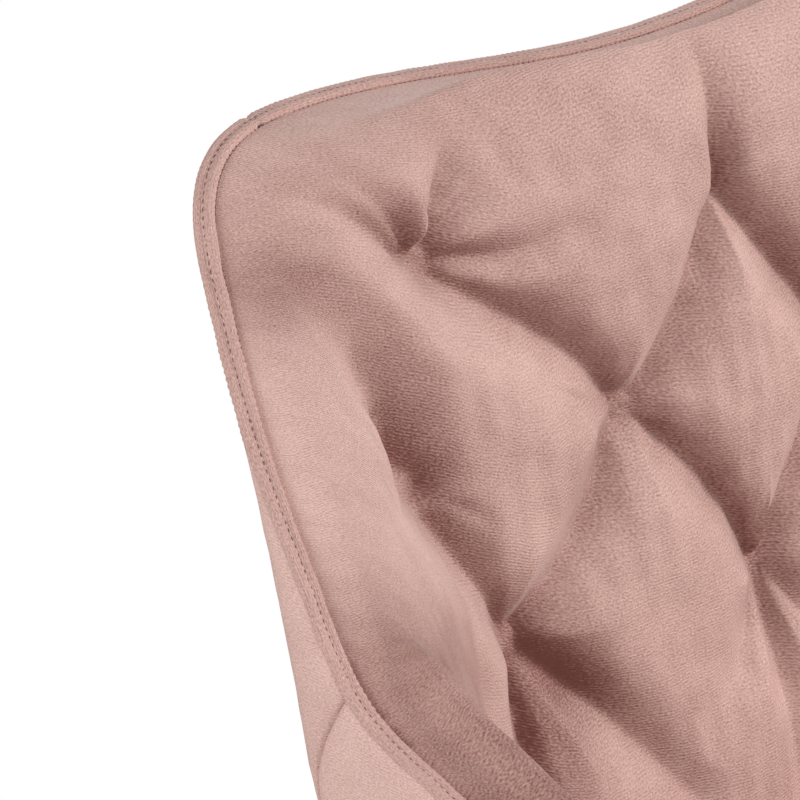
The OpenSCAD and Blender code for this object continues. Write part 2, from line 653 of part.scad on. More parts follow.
// Half of the tower's outline, from its foot to its top.
tower_half_outline = [
    [tower_foot, beam_z], [tower_foot, beam_z + tower_foot_h - 2], [tower_waist, beam_z + tower_foot_h + 2],
    [tower_waist, tower_neck_z], [tower_foot, tower_neck_z + 30], [tower_half, upper_pivot_z - 18],
    [tower_half, tower_top - tower_chamfer], [tower_half - tower_chamfer, tower_top]
];
tower_points = len(tower_half_outline);
tower_outline = concat(tower_half_outline,
    [for (i = [1:tower_points]) let (p = tower_half_outline[tower_points - i]) [-p.x, p.y]]);

module tower() color(black_steel) {
    difference() {
        upright(tower_x, plate) difference() {
            polygon(tower_outline);
            for (z = [tower_neck_z + 6, tower_neck_z + 66]) translate([0, z]) circle(d = tower_hole_d);
        }
        for (y = [-pivot_y, pivot_y]) across(tower_x - 1, tower_x + plate + 1, y, upper_pivot_z, pivot_d + 0.1);
    }
    translate([tower_x - tower_lip, 12 - tower_half, tower_top - plate])
        cube([tower_lip, 2 * tower_half - 24, plate]);
}
module tower_left() tower();
module tower_right() mirror([1, 0, 0]) tower();

module upper_pivot_bolts() color(zinc)
    for (s = sides, y = [-pivot_y, pivot_y]) on_side(s) {
        across(tower_x - 7, tower_x - 0.05, y, upper_pivot_z, bolt_head_d);
        across(tower_x - 0.06, bush_out_x + 0.2 + nut_t, y, upper_pivot_z, pivot_d);
    }
module pivot_nut_at(x, y, z) color(zinc) difference() {
    translate([x, y, z]) rotate([0, 90, 0]) cylinder(d = 20, h = nut_t, $fn = 6);
    across(x - 1, x + nut_t + 1, y, z, pivot_d + 0.1);
}
module upper_pivot_nuts()
    for (s = sides, y = [-pivot_y, pivot_y]) on_side(s)
        pivot_nut_at(bush_out_x + 0.2, y, upper_pivot_z);
module glide_stops() color("black")
    for (s = sides, e = sides) on_side(s)
        across(tower_x + plate + 0.05, link_out_x + 1,
            e * (pivot_y - stop_at.x), upper_pivot_z + stop_at.y, stop_d);

module link(side, end) color(black_steel) on_side(side) translate([0, end * pivot_y, 0]) difference() {
    upright(link_x, link_thickness) union() {
        for (z = [lower_pivot_z, upper_pivot_z]) translate([0, z]) circle(d = link_width);
        translate([-link_width / 2, lower_pivot_z]) square([link_width, link_length]);
    }
    for (z = [lower_pivot_z, upper_pivot_z]) across(link_x - 1, link_out_x + 1, 0, z, 2 * bush_r + 0.1);
}
module link_front_left() link(1, -1);
module link_front_right() link(-1, -1);
module link_rear_left() link(1, 1);
module link_rear_right() link(-1, 1);

module bushes(side, end) color("goldenrod") on_side(side)
    for (z = [lower_pivot_z, upper_pivot_z]) difference() {
        union() {
            across(link_x - flange_t, bush_out_x, end * pivot_y, z, 2 * bush_r);
            across(link_x - flange_t, link_x - 0.02, end * pivot_y, z, 2 * bush_r + 5);
            across(link_out_x + 0.02, bush_out_x, end * pivot_y, z, 2 * bush_r + 5);
        }
        across(link_x - flange_t - 1, bush_out_x + 1, end * pivot_y, z, pivot_d + 2 * running_gap);
    }
module bushes_front_left() bushes(1, -1);
module bushes_front_right() bushes(-1, -1);
module bushes_rear_left() bushes(1, 1);
module bushes_rear_right() bushes(-1, 1);

carriage_half = rear_rail_y;
screw_x = rail_inner_x + rail_thickness / 2;
screw_ys = [for (share = [-0.87, -0.3, 0.3, 0.87]) share * carriage_half];
screw_d = 6;
screw_depth = 27;
carriage_flange = rail_outer_x - carriage_x - 4;
carriage_top = rail_z - dust_t - 2 * fit_gap;
module carriage() color(black_steel) difference() {
    union() {
        upright(carriage_x, plate) union() {
            translate([-carriage_half, carriage_top - 30]) square([2 * carriage_half, 30]);
            for (y = [-pivot_y, pivot_y]) {
                translate([y - 15, lower_pivot_z]) square([30, carriage_top - lower_pivot_z]);
                translate([y, lower_pivot_z]) circle(r = 15);
            }
        }
        translate([carriage_x, -carriage_half, carriage_top - plate])
            cube([carriage_flange, 2 * carriage_half, plate]);
    }
    for (y = [-pivot_y, pivot_y])
        across(carriage_x - 1, carriage_out_x + 1, y, lower_pivot_z, pivot_d + 0.1);
    for (y = screw_ys) translate([screw_x, y, carriage_top - plate - 1]) cylinder(d = screw_d + 0.4, h = plate + 2);
}
module carriage_left() carriage();
module carriage_right() mirror([1, 0, 0]) carriage();
module carriage_ties() color(black_steel)
    for (y = [-1, 1]) translate([0, y * (carriage_half - 12), carriage_top - plate - 7]) rotate([0, 90, 0])
        translate([0, 0, -carriage_x + 0.05]) linear_extrude(2 * carriage_x - 0.1) difference() {
            square([12, 22], center = true);
            square([9, 19], center = true);
        }
module carriage_screws() color(zinc)
    for (s = sides, y = screw_ys) translate([s * screw_x, y, carriage_top - plate]) {
        translate([0, 0, -4]) cylinder(d = 12, h = 3.95);
        translate([0, 0, -0.06]) cylinder(d = screw_d, h = plate + screw_depth);
    }
module lower_pivot_bolts() color(zinc)
    for (s = sides, y = [-pivot_y, pivot_y]) on_side(s) {
        across(link_x - flange_t - 5.2, link_x - flange_t - 0.2, y, lower_pivot_z, bolt_head_d);
        across(link_x - flange_t - 0.21, carriage_out_x + nut_t + 1, y, lower_pivot_z, pivot_d);
    }
module lower_pivot_nuts()
    for (s = sides, y = [-pivot_y, pivot_y]) on_side(s) pivot_nut_at(carriage_out_x + 0.05, y, lower_pivot_z);
module lower_pivot_sleeves() color(zinc)
    for (s = sides, y = [-pivot_y, pivot_y]) on_side(s) difference() {
        across(bush_out_x + 0.2, carriage_x - 0.05, y, lower_pivot_z, pivot_d + 5);
        across(bush_out_x, carriage_x + 1, y, lower_pivot_z, pivot_d + 0.1);
    }

// ---- Swivel base --------------------------------------------------------------
ring_r = (ring_d - ring_tube_d) / 2;
ring_z = glide_h + ring_tube_d / 2;
hub_z = ring_z + arm_bar_h / 2;
hub_r = hub_d / 2;
race_z = hub_z + hub_plate_t;
ball_z = race_z + race_t + race_gap / 2;
upper_race_z = race_z + race_t + race_gap;
ball_r = ball_d / 2;
ball_circle_r = ball_circle_d / 2;
pin_r = pin_d / 2;
race_in_r = 58;
race_screw_r = 65;
module ring_torus(r) translate([0, 0, ring_z]) rotate_extrude($fn = 96) translate([ring_r, 0]) circle(r = r);

module base_ring() color(black_steel) ring_torus(ring_tube_d / 2);
module base_arms() color(black_steel) difference() {
    for (a = [0:90:270]) rotate([0, 0, a])
        translate([pin_r + 14, -arm_bar_w / 2, ring_z - arm_bar_h / 2]) cube([ring_r - pin_r - 14, arm_bar_w, arm_bar_h]);
    ring_torus(ring_tube_d / 2 + 0.12);
    for (a = lower_screw_angles) rotate([0, 0, a]) translate([race_screw_r, 0, 0]) cylinder(d = 6.2, h = hub_z + 1);
}
module hub_plate() color(black_steel) difference() {
    translate([0, 0, hub_z]) cylinder(r = hub_r, h = hub_plate_t, $fn = 96);
    translate([0, 0, hub_z - 1]) cylinder(r = pin_r + 0.05, h = hub_plate_t + 2);
    for (a = lower_screw_angles) rotate([0, 0, a]) translate([race_screw_r, 0, 0]) cylinder(d = 6.2, h = race_z + 1);
}
module floor_glides() color("black") difference() {
    for (i = [0:glide_count - 1]) rotate([0, 0, (i + 0.5) * 360 / glide_count])
        translate([ring_r, 0, 0]) cylinder(r1 = ring_tube_d / 2, r2 = ring_tube_d / 2 + 2, h = glide_h + 4);
    ring_torus(ring_tube_d / 2 + 0.05);
}
lower_screw_angles = [0:90:270];
upper_screw_angles = [25, 155, 205, 335];
module race(z, groove_z, angles) color(zinc) difference() {
    translate([0, 0, z]) rotate_extrude($fn = 96) translate([race_in_r, 0]) square([hub_r - race_in_r, race_t]);
    translate([0, 0, groove_z]) rotate_extrude($fn = 96) translate([ball_circle_r, 0]) circle(r = ball_r + 0.1);
    for (a = angles) rotate([0, 0, a]) translate([race_screw_r, 0, z - 1]) cylinder(d = 6.2, h = race_t + 2);
}
module lower_race() difference() {
    race(race_z, ball_z, lower_screw_angles);
    for (a = lower_screw_angles) rotate([0, 0, a]) translate([race_screw_r, 0, race_z + race_t - 2.6])
        cylinder(d1 = 6.2, d2 = 11.4, h = 2.61);
}
module upper_race() race(upper_race_z, ball_z, upper_screw_angles);
module lower_race_screws() color(black_steel)
    for (a = lower_screw_angles) rotate([0, 0, a]) translate([race_screw_r, 0, 0]) {
        translate([0, 0, race_z + race_t - 2.5]) cylinder(d1 = 6, d2 = 11, h = 2.5);
        translate([0, 0, ring_z]) cylinder(d = 6, h = race_z + race_t - 2.49 - ring_z);
    }
module upper_race_screws() color(black_steel)
    for (a = upper_screw_angles) rotate([0, 0, a]) translate([race_screw_r, 0, 0]) {
        translate([0, 0, beam_z + 0.02]) cylinder(d = 11, h = 3);
        translate([0, 0, upper_race_z + 0.4]) cylinder(d = 6, h = beam_z - upper_race_z);
    }
module ball_cage() color("goldenrod") difference() {
    translate([0, 0, ball_z - 0.8]) rotate_extrude($fn = 96)
        translate([ball_circle_r - ball_r - 3, 0]) square([2 * ball_r + 6, 1.6]);
    for (i = [0:ball_count - 1]) rotate([0, 0, i * 360 / ball_count])
        translate([ball_circle_r, 0, ball_z - 2]) cylinder(r = ball_r + 0.1, h = 4);
}
module bearing_balls() color(zinc)
    for (i = [0:ball_count - 1]) rotate([0, 0, i * 360 / ball_count])
        translate([ball_circle_r, 0, ball_z]) sphere(r = ball_r, $fn = 24);

module pivot_pin() color(zinc) {
    translate([0, 0, hub_z - 5]) cylinder(r = pin_r + 6, h = 4.95);
    translate([0, 0, hub_z - 0.06]) cylinder(r = pin_r, h = beam_z + 22 - hub_z);
}
module pivot_washer() color(zinc) translate([0, 0, beam_z + 3.2]) difference() {
    cylinder(r = pin_r + 10, h = 2);
    translate([0, 0, -1]) cylinder(r = pin_r + 0.1, h = 4);
}
module pivot_nut() color(zinc) translate([0, 0, beam_z + 5.3]) difference() {
    cylinder(r = pin_r + 7, h = 12, $fn = 6);
    translate([0, 0, -1]) cylinder(r = pin_r + 0.05, h = 14);
}
module swivel_bush() color("goldenrod") difference() {
    union() {
        translate([0, 0, swivel_plate_z + 0.2]) cylinder(r = pin_r + 3, h = beam_z - swivel_plate_z);
        translate([0, 0, beam_z + 0.02]) cylinder(r = pin_r + 8, h = 2.9);
    }
    translate([0, 0, swivel_plate_z - 1]) cylinder(r = pin_r + running_gap, h = 20);
}
module swivel_plate() color(black_steel) {
    half = swivel_plate_w / 2;
    round_r = 24;
    difference() {
        translate([0, 0, swivel_plate_z]) linear_extrude(hub_plate_t) union() {
            square([2 * half, 2 * (half - round_r)], center = true);
            square([2 * (half - round_r), 2 * half], center = true);
            for (x = sides, y = sides) translate([x * (half - round_r), y * (half - round_r)]) circle(r = round_r);
        }
        translate([0, 0, swivel_plate_z - 1]) cylinder(r = pin_r + 3.05, h = hub_plate_t + 2);
        for (a = upper_screw_angles) rotate([0, 0, a])
            translate([race_screw_r, 0, swivel_plate_z - 1]) cylinder(d = 6.2, h = hub_plate_t + 2);
    }
}
module cross_beams() color(black_steel)
    for (y = sides) translate([-tower_x + 0.05, y * beam_y, beam_z + beam_h / 2]) rotate([90, 0, 90])
        linear_extrude(2 * tower_x - 0.1) difference() {
            square([beam_w, beam_h - 0.04], center = true);
            square([beam_w - 2 * beam_wall, beam_h - 2 * beam_wall], center = true);
        }

base_ring();
base_arms();
hub_plate();
floor_glides();
lower_race();
lower_race_screws();
pivot_pin();
pivot_washer();
pivot_nut();
ball_cage();
bearing_balls();
upper_race();
upper_race_screws();
swivel_plate();
swivel_bush();
cross_beams();
tower_left();
tower_right();
upper_pivot_bolts();
upper_pivot_nuts();
glide_stops();
link_front_left();
link_front_right();
link_rear_left();
link_rear_right();
bushes_front_left();
bushes_front_right();
bushes_rear_left();
bushes_rear_right();
carriage_left();
carriage_right();
carriage_ties();
lower_pivot_bolts();
lower_pivot_nuts();
lower_pivot_sleeves();
carriage_screws();
front_rail();
rear_rail();
left_rail();
right_rail();
corner_blocks();
seat_springs();
spring_clips();
spring_cover();
dust_cover();
shell_board();
shell_bolts();
tuft_ties();
outer_back_cover();
outer_side_cover_left();
outer_side_cover_right();
back_pad();
arm_pad_left();
arm_pad_right();
rim_welt();
front_board();
front_border();
seat_cushion();
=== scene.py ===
# %% [markdown]
# # A tufted glider chair, dressed over its CAD frame
# The chair is a bucket shell covered in velvet. It hangs on four swing links
# over a turning steel ring base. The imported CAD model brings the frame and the
# mechanism, already in place. This lesson makes the soft parts, the finishes,
# the light and the camera. The soft parts are drawn in millimetres, as the CAD
# model is, and turned into metres when their meshes are made.

# %% Load the frame
import json
import math
import bmesh
import bpy
import numpy as np
from mathutils import Matrix, Vector
from mathutils.bvhtree import BVHTree


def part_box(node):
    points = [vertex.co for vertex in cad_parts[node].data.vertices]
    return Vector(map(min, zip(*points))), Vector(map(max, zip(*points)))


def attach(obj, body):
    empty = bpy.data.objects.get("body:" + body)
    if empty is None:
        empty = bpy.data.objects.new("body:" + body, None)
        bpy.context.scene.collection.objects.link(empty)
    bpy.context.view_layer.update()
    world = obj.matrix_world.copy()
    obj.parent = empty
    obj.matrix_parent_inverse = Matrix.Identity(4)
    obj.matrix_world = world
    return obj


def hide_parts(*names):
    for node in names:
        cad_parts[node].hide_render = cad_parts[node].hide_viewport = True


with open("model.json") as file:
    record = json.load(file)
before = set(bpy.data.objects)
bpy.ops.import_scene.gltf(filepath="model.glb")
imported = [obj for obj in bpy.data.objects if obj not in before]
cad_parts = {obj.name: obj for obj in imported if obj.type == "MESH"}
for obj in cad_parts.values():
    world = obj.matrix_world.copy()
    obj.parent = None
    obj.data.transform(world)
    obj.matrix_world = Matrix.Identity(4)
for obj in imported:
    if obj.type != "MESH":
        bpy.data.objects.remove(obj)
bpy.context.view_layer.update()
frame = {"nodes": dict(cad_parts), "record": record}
nodes = frame["nodes"]

# %% [markdown]
# ## The camera
# The chair is seen close up from its front right, from a little above, with a
# long lens. A camera is a place and three directions. Its own Z axis points
# away from what it sees, so the turn comes straight from two angles.

# %% Place the camera
camera_azimuth, camera_elevation = math.radians(-43.1), math.radians(23.0)
camera_distance, camera_lens = 2.8, 263.8
aim_across, aim_height = -0.357, 0.8336

back = Vector((math.sin(camera_azimuth) * math.cos(camera_elevation),
               -math.cos(camera_azimuth) * math.cos(camera_elevation),
               math.sin(camera_elevation)))
right = Vector((math.cos(camera_azimuth), math.sin(camera_azimuth), 0))
aim = Vector((aim_across * right.x, aim_across * right.y, aim_height))
turn = Matrix((right, back.cross(right), back)).transposed()
camera_data = bpy.data.cameras.new("camera")
camera_data.lens = camera_lens
camera_data.clip_end = 50
camera = bpy.data.objects.new("camera", camera_data)
camera.matrix_world = Matrix.Translation(aim + back * camera_distance) @ turn.to_4x4()
bpy.context.collection.objects.link(camera)
bpy.context.scene.camera = camera
print("camera at", [round(v, 2) for v in camera.location])

# %% [markdown]
# ## Wiring shader nodes
# Every finish is a small graph of nodes. Written out, each node takes four or
# five lines. This class adds a node, wires it and returns its output in one
# call. A value may be a number, a colour or another node's output.

# %% Give the nodes short names
class Graph:
    """Adds nodes to one shader tree and wires them."""

    def __init__(self, tree):
        self.nodes, self.wires = tree.nodes, tree.links

    def put(self, value, socket):
        if isinstance(value, bpy.types.NodeSocket):
            self.wires.new(value, socket)
        else:
            socket.default_value = value

    def math(self, operation, a, b=0.0, clamp=False):
        node = self.nodes.new("ShaderNodeMath")
        node.operation, node.use_clamp = operation, clamp
        self.put(a, node.inputs[0])
        self.put(b, node.inputs[1])
        return node.outputs[0]

    def vector_math(self, operation, a, b=None):
        node = self.nodes.new("ShaderNodeVectorMath")
        node.operation = operation
        self.put(a, node.inputs[0])
        if b is not None:
            self.put(b, node.inputs[1])
        return node.outputs["Value"]

    def noise(self, place, scale, detail=2.0, rough=0.5):
        node = self.nodes.new("ShaderNodeTexNoise")
        self.put(place, node.inputs["Vector"])
        self.put(scale, node.inputs["Scale"])
        node.inputs["Detail"].default_value = detail
        node.inputs["Roughness"].default_value = rough
        return node.outputs["Fac"]

    def spread(self, value, low, high, to_low=0.0, to_high=1.0, curve="LINEAR"):
        node = self.nodes.new("ShaderNodeMapRange")
        node.interpolation_type = curve
        self.put(value, node.inputs["Value"])
        names = ("From Min", "From Max", "To Min", "To Max")
        for name, number in zip(names, (low, high, to_low, to_high)):
            self.put(number, node.inputs[name])
        return node.outputs["Result"]

    def mix(self, share, a, b):
        node = self.nodes.new("ShaderNodeMix")
        node.data_type = "RGBA"
        for index, value in zip((0, 6, 7), (share, a, b)):
            self.put(value, node.inputs[index])
        return node.outputs[2]

    def stretch(self, place, factors):
        node = self.nodes.new("ShaderNodeMapping")
        self.put(place, node.inputs["Vector"])
        node.inputs["Scale"].default_value = factors
        return node.outputs[0]

    def split(self, vector):
        node = self.nodes.new("ShaderNodeSeparateXYZ")
        self.put(vector, node.inputs[0])
        return node.outputs

    def bump(self, height, distance, strength=1.0):
        node = self.nodes.new("ShaderNodeBump")
        self.put(height, node.inputs["Height"])
        node.inputs["Distance"].default_value = distance
        node.inputs["Strength"].default_value = strength
        return node.outputs["Normal"]

    def attribute(self, name):
        node = self.nodes.new("ShaderNodeAttribute")
        node.attribute_name = name
        return node

    def place(self):
        return self.nodes.new("ShaderNodeTexCoord").outputs["Object"]


def start(name):
    """A new material, its graph and the inputs of its Principled shader."""
    material = bpy.data.materials.new(name)
    material.use_nodes = True
    return material, Graph(material.node_tree), material.node_tree.nodes["Principled BSDF"].inputs


print("node helpers ready")

# %% [markdown]
# ## The floor
# A round pale floor keeps the chair's shadow and fades out towards its edge, so
# no horizon shows. A larger plane would do as well, but its far part would tint
# the white behind the chair. From underneath the floor can be seen through, so
# that the mechanism can be looked at.

# %% Lay the floor
floor_radius, floor_corners = 1.2, 64
fade_from, fade_to = 0.65, 1.18

pale_floor, g, shader = start("pale_floor")
shader["Base Color"].default_value = (0.94, 0.935, 0.93, 1)
shader["Roughness"].default_value = 0.8
radius = g.vector_math("LENGTH", g.place())
fade = g.spread(radius, fade_from, fade_to, 1.0, 0.0, "SMOOTHSTEP")
underside = g.nodes.new("ShaderNodeNewGeometry").outputs["Backfacing"]
g.put(g.math("SUBTRACT", fade, underside, clamp=True), shader["Alpha"])

floor_mesh = bpy.data.meshes.new("floor")
floor_edge = [(floor_radius * math.cos(t), floor_radius * math.sin(t), 0)
              for t in np.linspace(0, 2 * math.pi, floor_corners + 1)[:-1]]
floor_mesh.from_pydata(floor_edge, [], [tuple(range(floor_corners))])
floor_mesh.materials.append(pale_floor)
floor = bpy.data.objects.new("floor", floor_mesh)
bpy.context.collection.objects.link(floor)
print("floor:", 2 * floor_radius, "m across")

# %% [markdown]
# ## Lamps
# Three soft square lamps light the chair. The key stands high to the sitter's
# left, so each fold is bright on one side and dark on the other. A wide lamp
# beside the other wing brings out the pale sheen on the outer cover, and a weak
# one in front opens the shadows.

# %% Hang the lamps
lamp_aim = Vector((0, 0, 0.7))


def soft_lamp(name, place, size, power):
    """A square area lamp that faces the chair's back."""
    data = bpy.data.lights.new(name, "AREA")
    data.energy, data.size = power, size
    lamp = bpy.data.objects.new(name, data)
    lamp.location = place
    lamp.rotation_euler = (lamp_aim - Vector(place)).to_track_quat("-Z", "Y").to_euler()
    bpy.context.collection.objects.link(lamp)


soft_lamp("key", (2.1, -1.9, 2.4), 1.0, 80)
soft_lamp("side", (-2.9, 0.7, 1.5), 2.0, 52)
soft_lamp("front", (-0.8, -3.0, 1.3), 2.4, 36)
print("lamps:", len(bpy.data.lights))

# %% [markdown]
# ## A white world
# The white behind the chair is the world itself. It is at full strength only
# for rays from the camera, mirrored rays and rays through glass. All other rays
# meet a dimmer white, so the background adds no glare to the velvet.

# %% Whiten the world
fill_strength = 0.34

world = bpy.data.worlds.new("studio")
bpy.context.scene.world = world
world.use_nodes = True
g = Graph(world.node_tree)
ray = g.nodes.new("ShaderNodeLightPath").outputs
seen = g.math("MAXIMUM", ray["Is Camera Ray"], ray["Is Glossy Ray"])
seen = g.math("MAXIMUM", seen, ray["Is Transmission Ray"])
sky = g.nodes["Background"].inputs
g.put(g.spread(seen, 0.0, 1.0, fill_strength, 1.0), sky["Strength"])
sky["Color"].default_value = (1, 1, 1, 1)
bpy.context.scene.view_settings.view_transform = "Standard"
print("world: white, at", fill_strength, "for the rays that light the chair")

# %% [markdown]
# ## The shape of the shell
# Everything soft follows one bent sheet, so a place on the chair is given by two
# numbers: q, the distance round the outer face from the middle of the back, and
# z, the height. These functions repeat the CAD model's own sizes, in
# millimetres, and work on whole grids of points at once with NumPy.

# %% Describe the outer face
half_width_mm, depth_mm, arm_ref_mm = 312.0, 692.0, 650.0
corner_depth_mm, corner_power = 64.0, 3.6
flare, flare_rate = 0.078, 1.25
recline, corner_lean, front_rake = 0.20, 0.25, 0.05
back_mid_mm, back_corner_mm, skirt_mm, deck_mm = 934.0, 955.0, 140.0, 326.0
welt_mm, overhang_mm, pad_power = 5.6, 12.0, 3.1
board_inner_mm, arm_total_mm, back_total_mm = 18.0, 50.3, 54.3

centre_shift_mm = (overhang_mm - welt_mm / 4) / 2
arm_front_mm = -depth_mm / 2 + centre_shift_mm
side_y_mm = depth_mm / 2 + centre_shift_mm - corner_depth_mm - recline * (back_mid_mm - arm_ref_mm)
arm_run_mm = side_y_mm - arm_front_mm


def superellipse(power):
    """The quarter curve of a rounded corner, from the middle of the back."""
    angle = np.radians(np.arange(91.0))
    return np.sin(angle) ** (2 / power), np.clip(np.cos(angle), 0, None) ** (2 / power)


outer_table, padded_table = superellipse(corner_power), superellipse(pad_power)
corner_steps = np.hypot(np.diff(outer_table[0]) * half_width_mm,
                        np.diff(outer_table[1]) * corner_depth_mm)
plan_q = np.concatenate([[0], np.cumsum(corner_steps)])
quarter_q = plan_q[-1]
front_q = quarter_q + arm_run_mm


def side_at(z):
    return side_y_mm + corner_lean * np.minimum(z - arm_ref_mm, 0)


def front_edge_y(z):
    return arm_front_mm + front_rake * np.maximum(arm_ref_mm - z, 0)


def wall(q, z, table, side_in, back_in):
    """Points on a face that lies side_in and back_in inside the outer face."""
    q, z = np.broadcast_arrays(np.asarray(q, float), np.asarray(z, float))
    run = np.maximum(np.abs(q) - quarter_q, 0) / arm_run_mm
    start = side_at(z) - back_in
    back_y = side_y_mm + corner_depth_mm + recline * (z - arm_ref_mm)
    spread = 1 + flare * (np.exp(flare_rate * (z - arm_ref_mm) / 300) - 1)
    x_share, y_share = (np.interp(np.abs(q), plan_q, values) for values in table)
    x = np.sign(q) * (half_width_mm - side_in) * x_share * spread
    y = start + (back_y - side_at(z)) * y_share - run * (start - front_edge_y(z))
    return np.stack([x, y, z], -1)


def outer(q, z):
    return wall(q, z, outer_table, 0, 0)


def unit(vectors):
    return vectors / np.linalg.norm(vectors, axis=-1, keepdims=True)


def inward(q, z):
    """The level direction from the outer face into the shell."""
    step = outer(np.asarray(q, float) + 2, z) - outer(np.asarray(q, float) - 2, z)
    return unit(np.stack([step[..., 1], -step[..., 0], 0 * step[..., 0]], -1))


def at_depth(q, z, depth):
    return outer(q, z) + np.asarray(depth, float)[..., None] * inward(q, z)


print(f"shell: {2 * front_q:.0f} mm round the outer face")

# %% [markdown]
# ## The rim
# The rim dips at the middle of the back, rounds the upper corners, falls down
# the wings, bends into the arms and turns down their front edges. It is one
# line of (q, z) points, and its distance tells how far in a place lies.

# %% Trace the rim
corner_q_mm, bend_q_mm, bend_z_mm = 278.0, 351.0, 698.0
corner_round_mm, bend_round_mm, front_round_mm = 60.0, 35.0, 70.0
arm_slope, arm_ease = 0.40, 0.15


def bezier(a, b, c, share):
    share = np.asarray(share, float)[:, None]
    return (1 - share) ** 2 * a + 2 * share * (1 - share) * b + share ** 2 * c


def trace_rim(fine):
    """Half of the rim, from the middle of the back to the foot of the front edge."""
    corner, bend = np.array([corner_q_mm, back_corner_mm]), np.array([bend_q_mm, bend_z_mm])
    edge, arm_way = unit(bend - corner), unit(np.array([1, -arm_slope]))
    top_end, corner_end = corner - [corner_round_mm, 0], corner + edge * corner_round_mm
    bend_start, bend_end = bend - edge * bend_round_mm, bend + arm_way * bend_round_mm
    span = front_q - bend_end[0]

    def arm_z(q):
        u = (q - bend_end[0]) / span
        return bend_end[1] - span * (arm_slope * u - arm_ease * u * u)

    def shares(count, first=0, last=0):
        return np.arange(first, count * fine + last) / (count * fine)

    arm_end = np.array([front_q - front_round_mm, arm_z(front_q - front_round_mm)])
    front_top = np.array([front_q, arm_z(front_q)])
    front_end = front_top - [0, front_round_mm]
    t = shares(7)
    dip = (back_mid_mm - back_corner_mm) * (1 + np.cos(np.pi * t)) / 2
    arm_q = bend_end[0] + (arm_end[0] - bend_end[0]) * shares(8, first=1)
    return np.concatenate([
        np.stack([top_end[0] * t, back_corner_mm + dip], -1),
        bezier(top_end, corner, corner_end, shares(7, last=1)),
        corner_end + (bend_start - corner_end) * shares(5, first=1)[:, None],
        bezier(bend_start, bend, bend_end, shares(4, last=1)),
        np.stack([arm_q, arm_z(arm_q)], -1),
        bezier(arm_end, front_top, front_end, shares(7)),
        front_end + np.array([0, skirt_mm - front_end[1]]) * shares(5, last=1)[:, None],
    ])


rim = trace_rim(4)
print(f"rim: {len(rim)} points on each side, corner at {rim[:, 1].max():.0f} mm")

# %% [markdown]
# ### Distances from a line
# The padding rolls over at the rim, and each crease is a line on the cloth. Both
# need to know how far away a place is, on which side, and how far along.

# %% Measure from a line
def along_line(q, z, line):
    """Distance to a line of points, the side it is on and how far along it is."""
    best = np.full(q.shape, 1e9)
    side, place = np.zeros(q.shape), np.zeros(q.shape)
    lengths = np.concatenate([[0], np.cumsum(np.linalg.norm(np.diff(line, axis=0), axis=1))])
    for i, (a, b) in enumerate(zip(line[:-1], line[1:])):
        along = b - a
        u = np.clip(((q - a[0]) * along[0] + (z - a[1]) * along[1]) / (along @ along), 0, 1)
        off_q, off_z = q - a[0] - u * along[0], z - a[1] - u * along[1]
        away = np.hypot(off_q, off_z)
        near = away < best
        best = np.where(near, away, best)
        side = np.where(near, np.sign(along[0] * off_z - along[1] * off_q), side)
        reached = (lengths[i] + u * np.linalg.norm(along)) / lengths[-1]
        place = np.where(near, reached, place)
    return best, side, place


squeeze = (side_at(skirt_mm) - front_edge_y(skirt_mm)) / arm_run_mm


def inset_line(line, d):
    """The rim line moved d inwards over the shell's surface."""
    travel = unit(np.gradient(line, axis=0))
    travel[0] = (1, 0)
    pull = np.where(line[:, 0] > front_q - 0.01, squeeze, 1.0)
    return line + d * np.stack([travel[:, 1] / pull, -travel[:, 0]], -1)


def inset_height(q, d):
    """The height of that moved line over q, and how far forward it reaches."""
    line = inset_line(trace_rim(8), d)
    crown = line[: np.argmax(line[:, 0]) + 1]
    return np.interp(np.abs(q), crown[:, 0], crown[:, 1]), line[:, 0].max()


print("rim length:", round(2 * np.linalg.norm(np.diff(outer(*rim.T), axis=0), axis=1).sum()), "mm")

# %% [markdown]
# ## Velvet
# The cover is a cut-pile velvet in blush pink. Three things make it read as
# velvet: a fine rib, a soft mottling where the pile leans different ways, and a
# pale sheen at grazing angles. One shader group turns a place on the cloth, in
# metres, into a tone and a height, and every velvet piece uses it.

# %% Write the pile group
rib_period = 0.0017


def new_group(name, inputs, outputs):
    """An empty shader group with the named sockets."""
    group = bpy.data.node_groups.new(name, "ShaderNodeTree")
    for socket, kind, value in inputs:
        made = group.interface.new_socket(socket, in_out="INPUT", socket_type=kind)
        if value is not None:
            made.default_value = value
    for socket, kind in outputs:
        group.interface.new_socket(socket, in_out="OUTPUT", socket_type=kind)
    given = group.nodes.new("NodeGroupInput").outputs
    return group, Graph(group), given, group.nodes.new("NodeGroupOutput").inputs


def use_group(graph, group, **values):
    node = graph.nodes.new("ShaderNodeGroup")
    node.node_tree = group
    for name, value in values.items():
        graph.put(value, node.inputs[name])
    return node.outputs


